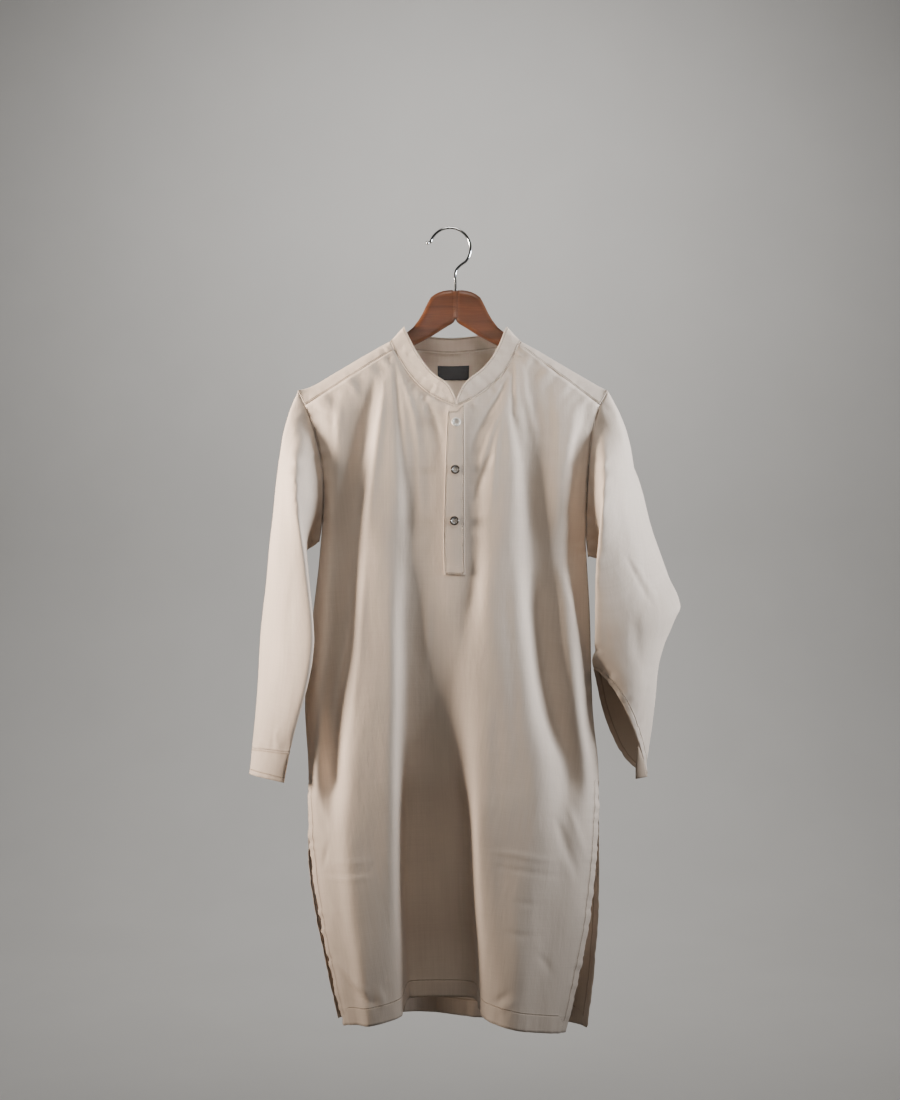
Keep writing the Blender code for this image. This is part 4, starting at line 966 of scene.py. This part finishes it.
def eased(tree, value, low, high, start, end):
    ease = tree.nodes.new("ShaderNodeMapRange")
    ease.interpolation_type = "SMOOTHSTEP"
    for socket, number in (("From Min", low), ("From Max", high), ("To Min", start), ("To Max", end)):
        ease.inputs[socket].default_value = number
    tree.links.new(value, ease.inputs["Value"])
    return ease.outputs["Result"]


def thread_material():
    if "sewing_thread" in bpy.data.materials:
        return bpy.data.materials["sewing_thread"]
    material, tree, shader = new_material("sewing_thread")
    base = tuple(looks("kurta_cloth").thread)
    twist = scaled_noise(tree, 2200.0, (1, 1, 1), detail=2.0)
    colour = blend_colour(tree, twist, tinted(base, 0.82), base)
    finish_surface(tree, shader, colour, {"Roughness": 0.6}, (twist, 0.4, 0.0001))
    return material


def satin_material():
    material, tree, shader = new_material("label_satin")
    base = looks("kurta_trim").label
    grain = scaled_noise(tree, 1500.0, (0.02, 1, 1), follow="UV")
    colour = blend_colour(tree, grain, tinted(base, 0.7), tinted(base, 1.6))
    finish_surface(tree, shader, colour, {"Roughness": 0.5, "Sheen Weight": 0.15}, (grain, 0.4, 0.0002))
    return material


def shell_material(name, smoky):
    """Cloudy polished shell; on the smoky buttons darker towards the rim, partly their own smoky tone and
    partly painted shade where the light rakes the rim.
    """
    material, tree, shader = new_material(name)
    trim = looks("kurta_trim")
    base = tuple(trim.shell)
    cloud = scaled_noise(tree, 300.0, (1, 1, 1), detail=4.0)
    shade = 0.7 if smoky else 1.0
    face = blend_colour(tree, cloud, tinted(base, 0.6 * shade), tinted(base, 1.15 * shade))
    if smoky:
        # darker towards the rim: partly the smoky shell's own tone, partly painted shade from the light
        # raking the rim
        outward = tree.nodes.new("ShaderNodeAttribute")
        outward.attribute_name = "outward"
        rim = blend_colour(tree, outward.outputs["Fac"], (1, 1, 1), tuple(trim.rim_tone_and_shade), 0.5, 0.72)
        face = mixed_colours(tree, face, rim, 1.0)
    finish_surface(tree, shader, face, {"Roughness": 0.22, "Coat Weight": 0.5, "Coat Roughness": 0.1},
                   (cloud, 0.15, 0.0002))
    return material


def wood_material(name, lean):
    """Varnished wood with its grain along an arm that falls at the given angle."""
    material, tree, shader = new_material(name)
    base = tuple(looks("kurta_hanger").wood)
    grain = scaled_noise(tree, 90.0, (0.05, 1, 1), detail=5.0, rough=0.6, turn=(0, lean, 0))
    pores = scaled_noise(tree, 700.0, (0.05, 1, 1), detail=3.0, turn=(0, lean, 0))
    rings = blend_colour(tree, grain, tinted(base, 0.7), tinted(base, 1.3))
    fine = blend_colour(tree, pores, (0.62, 0.55, 0.5), (1, 1, 1))
    finish_surface(tree, shader, mixed_colours(tree, rings, fine, 0.7),
                   {"Roughness": 0.4, "Coat Weight": 0.25, "Coat Roughness": 0.25}, (pores, 0.2, 0.0004))
    return material


def wire_material():
    material, tree, shader = new_material("hook_wire")
    base = tuple(looks("kurta_hanger").wire)
    marks = scaled_noise(tree, 400.0, (1, 1, 0.2))
    colour = blend_colour(tree, marks, tinted(base, 0.86), base)
    finish_surface(tree, shader, colour, {"Metallic": 1.0, "Roughness": 0.14}, (marks, 0.05, 0.0002))
    return material


class SewFront(bpy.types.Operator):
    """Sew the front with its folds, slits and hem"""
    bl_idname = "kurta.sew_front"
    bl_label = "Front"

    def execute(self, context):
        sew_piece("front", FRONT_CREASES, seed=0.0, ease=FRONT_EASE)
        return {"FINISHED"}


class SewBack(bpy.types.Operator):
    """Sew the back and the yoke"""
    bl_idname = "kurta.sew_back"
    bl_label = "Back and yoke"

    def execute(self, context):
        sew_piece("back", BACK_CREASES, seed=3.0, ease=BACK_EASE)
        sew_piece("yoke", seed=5.0)
        return {"FINISHED"}


class SewSleeves(bpy.types.Operator):
    """Sew the two sleeves and the cuff"""
    bl_idname = "kurta.sew_sleeves"
    bl_label = "Sleeves and cuff"

    def execute(self, context):
        sew_piece("sleeve_left", SLEEVE_LEFT_CREASES, seed=7.0, corner=OPENING_CORNER, trims=[turn_flap()])
        sew_piece("sleeve_right", SLEEVE_RIGHT_CREASES, seed=9.0)
        sew_piece("cuff_right", seed=11.0)
        return {"FINISHED"}


def turn_flap():
    """The end of the left sleeve's hem, turned back at its tip."""
    flap = bmesh.new()
    bmesh.ops.create_grid(flap, x_segments=6, y_segments=16, size=0.5)
    for vert in flap.verts:
        across, down = vert.co.x + 0.5, 0.5 - vert.co.y
        inner = along_line(FLAP_INNER, down)
        outer = along_line(FLAP_OUTER, down)
        roll = math.sin(across * math.pi) * (FLAP_ROLL[0] + FLAP_ROLL[1] * down)
        vert.co = (inner.lerp(outer, across) + Vector((0, -roll - FLAP_LIFT, 0))) * MM
    bmesh.ops.recalc_face_normals(flap, faces=flap.faces)
    piece = add_piece("turned_hem_end", mesh_from(flap, "turned_hem_end"), (), cotton_material())
    wall = piece.modifiers.new("Cloth", "SOLIDIFY")
    wall.thickness = FLAP_THICKNESS * MM
    wall.offset = 0
    return piece


def along_line(line, share):
    """Point at a share of the way along a line of evenly timed points."""
    step = min(int(share * (len(line) - 1)), len(line) - 2)
    return Vector(line[step]).lerp(Vector(line[step + 1]), share * (len(line) - 1) - step)


class SewNeck(bpy.types.Operator):
    """Sew the collar band, the placket and the label"""
    bl_idname = "kurta.sew_neck"
    bl_label = "Collar, placket and label"

    def execute(self, context):
        sew_piece("collar", seed=13.0)
        sew_piece("placket", crossings=PLACKET_CROSSINGS, seed=15.0)
        sew_piece("label", seed=17.0, material=satin_material())
        return {"FINISHED"}


class TurnButtons(bpy.types.Operator):
    """Turn the three shell buttons and sew them on the placket"""
    bl_idname = "kurta.turn_buttons"
    bl_label = "Buttons"

    def execute(self, context):
        face = turned_button()
        pale, smoky = shell_material("shell_pale", False), shell_material("shell_smoky_rim_shaded", True)
        for number in (1, 2, 3):
            node = f"button_{number}"
            place = button_place(node)
            data = face.copy()
            data.transform(place)
            name = f"shell_button_{number}"
            add_piece(name, data, [node], smoky if number in SMOKY_BUTTONS else pale)
            data.set_sharp_from_angle(angle=BUTTON_CRISP)
            thread = bmesh.new()
            for along in (Vector((1, 1, 0)), Vector((1, -1, 0))):
                add_stitch(thread, THREAD_LEVEL, Vector((0, 0, 1)), along, *BUTTON_THREAD, 2)
            bmesh.ops.transform(thread, verts=thread.verts, matrix=place)
            add_piece(f"button_thread_{number}", mesh_from(thread, "thread"), (), thread_material())
        bpy.data.meshes.remove(face)
        return {"FINISHED"}


def turned_button():
    """A button turned from shell, with four holes bored through it."""
    profile = bmesh.new()
    spots = [profile.verts.new((radius * MM, 0, level * MM)) for radius, level in BUTTON_PROFILE]
    lines = [profile.edges.new(pair) for pair in zip(spots, spots[1:])]
    bmesh.ops.spin(profile, geom=spots + lines, cent=(0, 0, 0), axis=(0, 0, 1), angle=math.tau, steps=48,
                   use_merge=True)
    bmesh.ops.remove_doubles(profile, verts=profile.verts, dist=0.001 * MM)
    bmesh.ops.recalc_face_normals(profile, faces=profile.faces)
    drills = bmesh.new()
    for x, y in HOLE_PLACES:
        bmesh.ops.create_cone(drills, cap_ends=True, segments=16, radius1=HOLE_RADIUS * MM,
                              radius2=HOLE_RADIUS * MM, depth=HOLE_DEPTH * MM,
                              matrix=Matrix.Translation((x * MM, y * MM, 0)))
    blank = placed("blank", mesh_from(profile, "blank"))
    drill = placed("drill", mesh_from(drills, "drill"))
    bore = blank.modifiers.new("Bore", "BOOLEAN")
    bore.operation = "DIFFERENCE"
    bore.solver = "EXACT"
    bore.object = drill
    face = finished_shape(blank)
    discard(drill)
    rim = BUTTON_RADIUS * MM
    outward = face.attributes.new("outward", "FLOAT", "POINT")
    outward.data.foreach_set("value", [min(1.0, vert.co.xy.length / rim) for vert in face.vertices])
    return face


def button_place(node):
    """Where a button sits: its middle, with its face along z."""
    points = read_values(frame["nodes"][node].data.vertices, "co", 3)
    points = np.unique(points.round(6), axis=0)
    middle = points.mean(axis=0)
    axis = Vector(np.linalg.svd(points - middle)[2][2])
    if axis.y > 0:
        axis.negate()
    levels = (points - middle) @ np.array(axis)
    middle = Vector(middle) + axis * float(levels.max() + levels.min()) / 2
    return Matrix.Translation(middle) @ axis.to_track_quat("Z", "Y").to_matrix().to_4x4()


class MakeHanger(bpy.types.Operator):
    """Finish the hanger's wooden arms and bend its wire hook"""
    bl_idname = "kurta.make_hanger"
    bl_label = "Hanger"

    def execute(self, context):
        for side, way in (("left", 1), ("right", -1)):
            arm = frame["nodes"][f"hanger_arm_{side}"]
            wood = wood_material("wood_" + side, way * ARM_LEAN)
            arm.data.materials.clear()
            arm.data.materials.append(wood)
            squared = add_piece("arm_end_" + side, squared_end("arm_end_" + side, way), (), wood)
            squared.data.set_sharp_from_angle(angle=ARM_CRISP)
        hook = bmesh.new()
        wire = bent_wire()
        hook.from_mesh(wire)
        bpy.data.meshes.remove(wire)
        tip = Matrix.Translation((HOOK_TIP[0] * MM, 0, HOOK_TIP[1] * MM))
        bmesh.ops.create_uvsphere(hook, u_segments=24, v_segments=16, radius=HOOK_BALL * MM, matrix=tip)
        add_piece("wire_hook", mesh_from(hook, "wire_hook"), ["hanger_hook"], wire_material())
        return {"FINISHED"}


def squared_end(name, way):
    """The squared end of one arm, with its edges rounded where it meets the arm."""
    width, depth, low, high = ARM_END
    end = bmesh.new()
    size = Matrix.Diagonal((width * MM, depth * MM, (high - low) * MM, 1))
    place = Matrix.Translation(((CENTRE + way * (width / 2 + ARM_JOINT)) * MM, 0, (high + low) / 2 * MM))
    bmesh.ops.create_cube(end, size=1.0, matrix=place @ size)
    outer = [edge for edge in end.edges if any((vert.co.x / MM - CENTRE) * way > 1 for vert in edge.verts)]
    bmesh.ops.bevel(end, geom=outer, offset=ARM_BEVEL * MM, segments=3, profile=0.5, affect="EDGES",
                    material=-1)
    return mesh_from(end, name)


def bent_wire():
    """The hook's wire as a round rod along its middle line."""
    wire = bpy.data.curves.new("hook_wire", "CURVE")
    wire.dimensions = "3D"
    wire.bevel_depth = WIRE_RADIUS * MM
    wire.bevel_resolution = 6
    wire.use_fill_caps = True
    line = hook_line()
    spline = wire.splines.new("POLY")
    spline.points.add(len(line) - 1)
    for spot, (x, z) in zip(spline.points, line):
        spot.co = (x * MM, 0, z * MM, 1)
    return finished_shape(placed("bent_wire", wire))


def hook_line():
    """Middle line of the wire: tip, round crown, neck and stem."""
    line = [HOOK_TIP]
    start, end = CROWN_TURN
    for step in range(CROWN_STEPS + 1):
        turn = math.radians(start + (end - start) * step / CROWN_STEPS)
        rise = CROWN_RADIUS * math.sin(turn)
        line.append((CROWN_RADIUS * math.cos(turn), WIRE_RADIUS - CROWN_RADIUS + rise))
    before_neck = line[-3]
    knots = [before_neck] + list(HOOK_NECK)
    for before, start, end, after in zip(knots, knots[1:], knots[2:], knots[3:] + knots[-1:]):
        for step in range(1, NECK_STEPS + 1):
            t = step / NECK_STEPS
            spot = [((2 * s) + (e - b) * t + (2 * b - 5 * s + 4 * e - a) * t * t
                     + (3 * s - b - 3 * e + a) * t * t * t) / 2
                    for b, s, e, a in zip(before, start, end, after)]
            line.append(tuple(spot))
    return line


class SetStage(bpy.types.Operator):
    """Set the floor, the soft lights and the camera"""
    bl_idname = "kurta.set_stage"
    bl_label = "Stage"

    def execute(self, context):
        stage = context.scene.kurta_stage
        add_floor(stage)
        for light in LIGHTS:
            add_light(*light)
        world = bpy.data.worlds.new("soft_room")
        world.use_nodes = True
        world.node_tree.nodes["Background"].inputs["Color"].default_value = (1, 1, 1, 1)
        world.node_tree.nodes["Background"].inputs["Strength"].default_value = ROOM_LIGHT
        context.scene.world = world
        camera = bpy.data.cameras.new("camera")
        camera.lens = stage.lens
        camera.sensor_width = 36.0
        camera.sensor_fit = "AUTO"
        view = placed("camera", camera)
        view.location = CAMERA_PLACE
        view.rotation_euler = (math.pi / 2, 0, 0)
        context.scene.camera = view
        return {"FINISHED"}


def add_floor(stage):
    """A pale floor that curves up into a wall."""
    sweep = bmesh.new()
    bmesh.ops.create_grid(sweep, x_segments=1, y_segments=1, size=FLOOR_HALF)
    bmesh.ops.translate(sweep, verts=sweep.verts, vec=(0, FLOOR_SHIFT, stage.floor_height))
    far = [edge for edge in sweep.edges if all(vert.co.y > 0 for vert in edge.verts)]
    raised = bmesh.ops.extrude_edge_only(sweep, edges=far)
    top = [item for item in raised["geom"] if isinstance(item, bmesh.types.BMVert)]
    bmesh.ops.translate(sweep, verts=top, vec=(0, 0, WALL_HEIGHT))
    corner = [edge for edge in sweep.edges if len(edge.link_faces) == 2]
    bmesh.ops.bevel(sweep, geom=corner, offset=WALL_CURVE, segments=16, profile=0.5, affect="EDGES",
                    material=-1)
    data = mesh_from(sweep, "floor")
    data.shade_smooth()
    material, tree, shader = new_material("pale_floor")
    cloud = scaled_noise(tree, 3.0, (1, 1, 1))
    base = tuple(stage.floor)
    finish_surface(tree, shader, blend_colour(tree, cloud, tinted(base, 0.97), base), {"Roughness": 0.9})
    data.materials.append(material)
    placed("floor", data)


def add_light(name, place, aim, size, power, spread, colour):
    data = bpy.data.lights.new(name, "AREA")
    data.shape = "SQUARE"
    data.size = size
    data.energy = power
    data.color = colour
    data.spread = math.radians(spread)
    light = placed(name, data)
    light.location = place
    light.rotation_euler = (Vector(aim) - Vector(place)).to_track_quat("-Z", "Y").to_euler()


class KURTA_PT_pieces(bpy.types.Panel):
    """Sidebar list of the garment's pieces"""
    bl_idname = "KURTA_PT_pieces"
    bl_label = "Kurta"
    bl_space_type = "VIEW_3D"
    bl_region_type = "UI"
    bl_category = "Kurta"

    def draw(self, context):
        for group, kind in GROUPS.items():
            box = self.layout.box()
            for key in kind.__annotations__:
                box.prop(getattr(context.scene, group), key)
        for operator in OPERATORS:
            self.layout.operator(operator.bl_idname)


GROUPS = {
    "kurta_cloth": KurtaCloth, "kurta_trim": KurtaTrim,
    "kurta_hanger": KurtaHanger, "kurta_stage": KurtaStage,
}
OPERATORS = (SetStage, SewFront, SewBack, SewSleeves, SewNeck, TurnButtons, MakeHanger)


def register():
    for group in GROUPS.values():
        bpy.utils.register_class(group)
    for operator in OPERATORS:
        bpy.utils.register_class(operator)
    bpy.utils.register_class(KURTA_PT_pieces)
    for name, group in GROUPS.items():
        setattr(bpy.types.Scene, name, bpy.props.PointerProperty(type=group))


def unregister():
    for name in GROUPS:
        delattr(bpy.types.Scene, name)
    bpy.utils.unregister_class(KURTA_PT_pieces)
    for operator in reversed(OPERATORS):
        bpy.utils.unregister_class(operator)
    for group in reversed(list(GROUPS.values())):
        bpy.utils.unregister_class(group)


def main():
    register()
    bpy.ops.kurta.set_stage()
    bpy.ops.kurta.sew_front()
    bpy.ops.kurta.sew_back()
    bpy.ops.kurta.sew_sleeves()
    bpy.ops.kurta.sew_neck()
    bpy.ops.kurta.turn_buttons()
    bpy.ops.kurta.make_hanger()


if __name__ == "__main__":
    main()
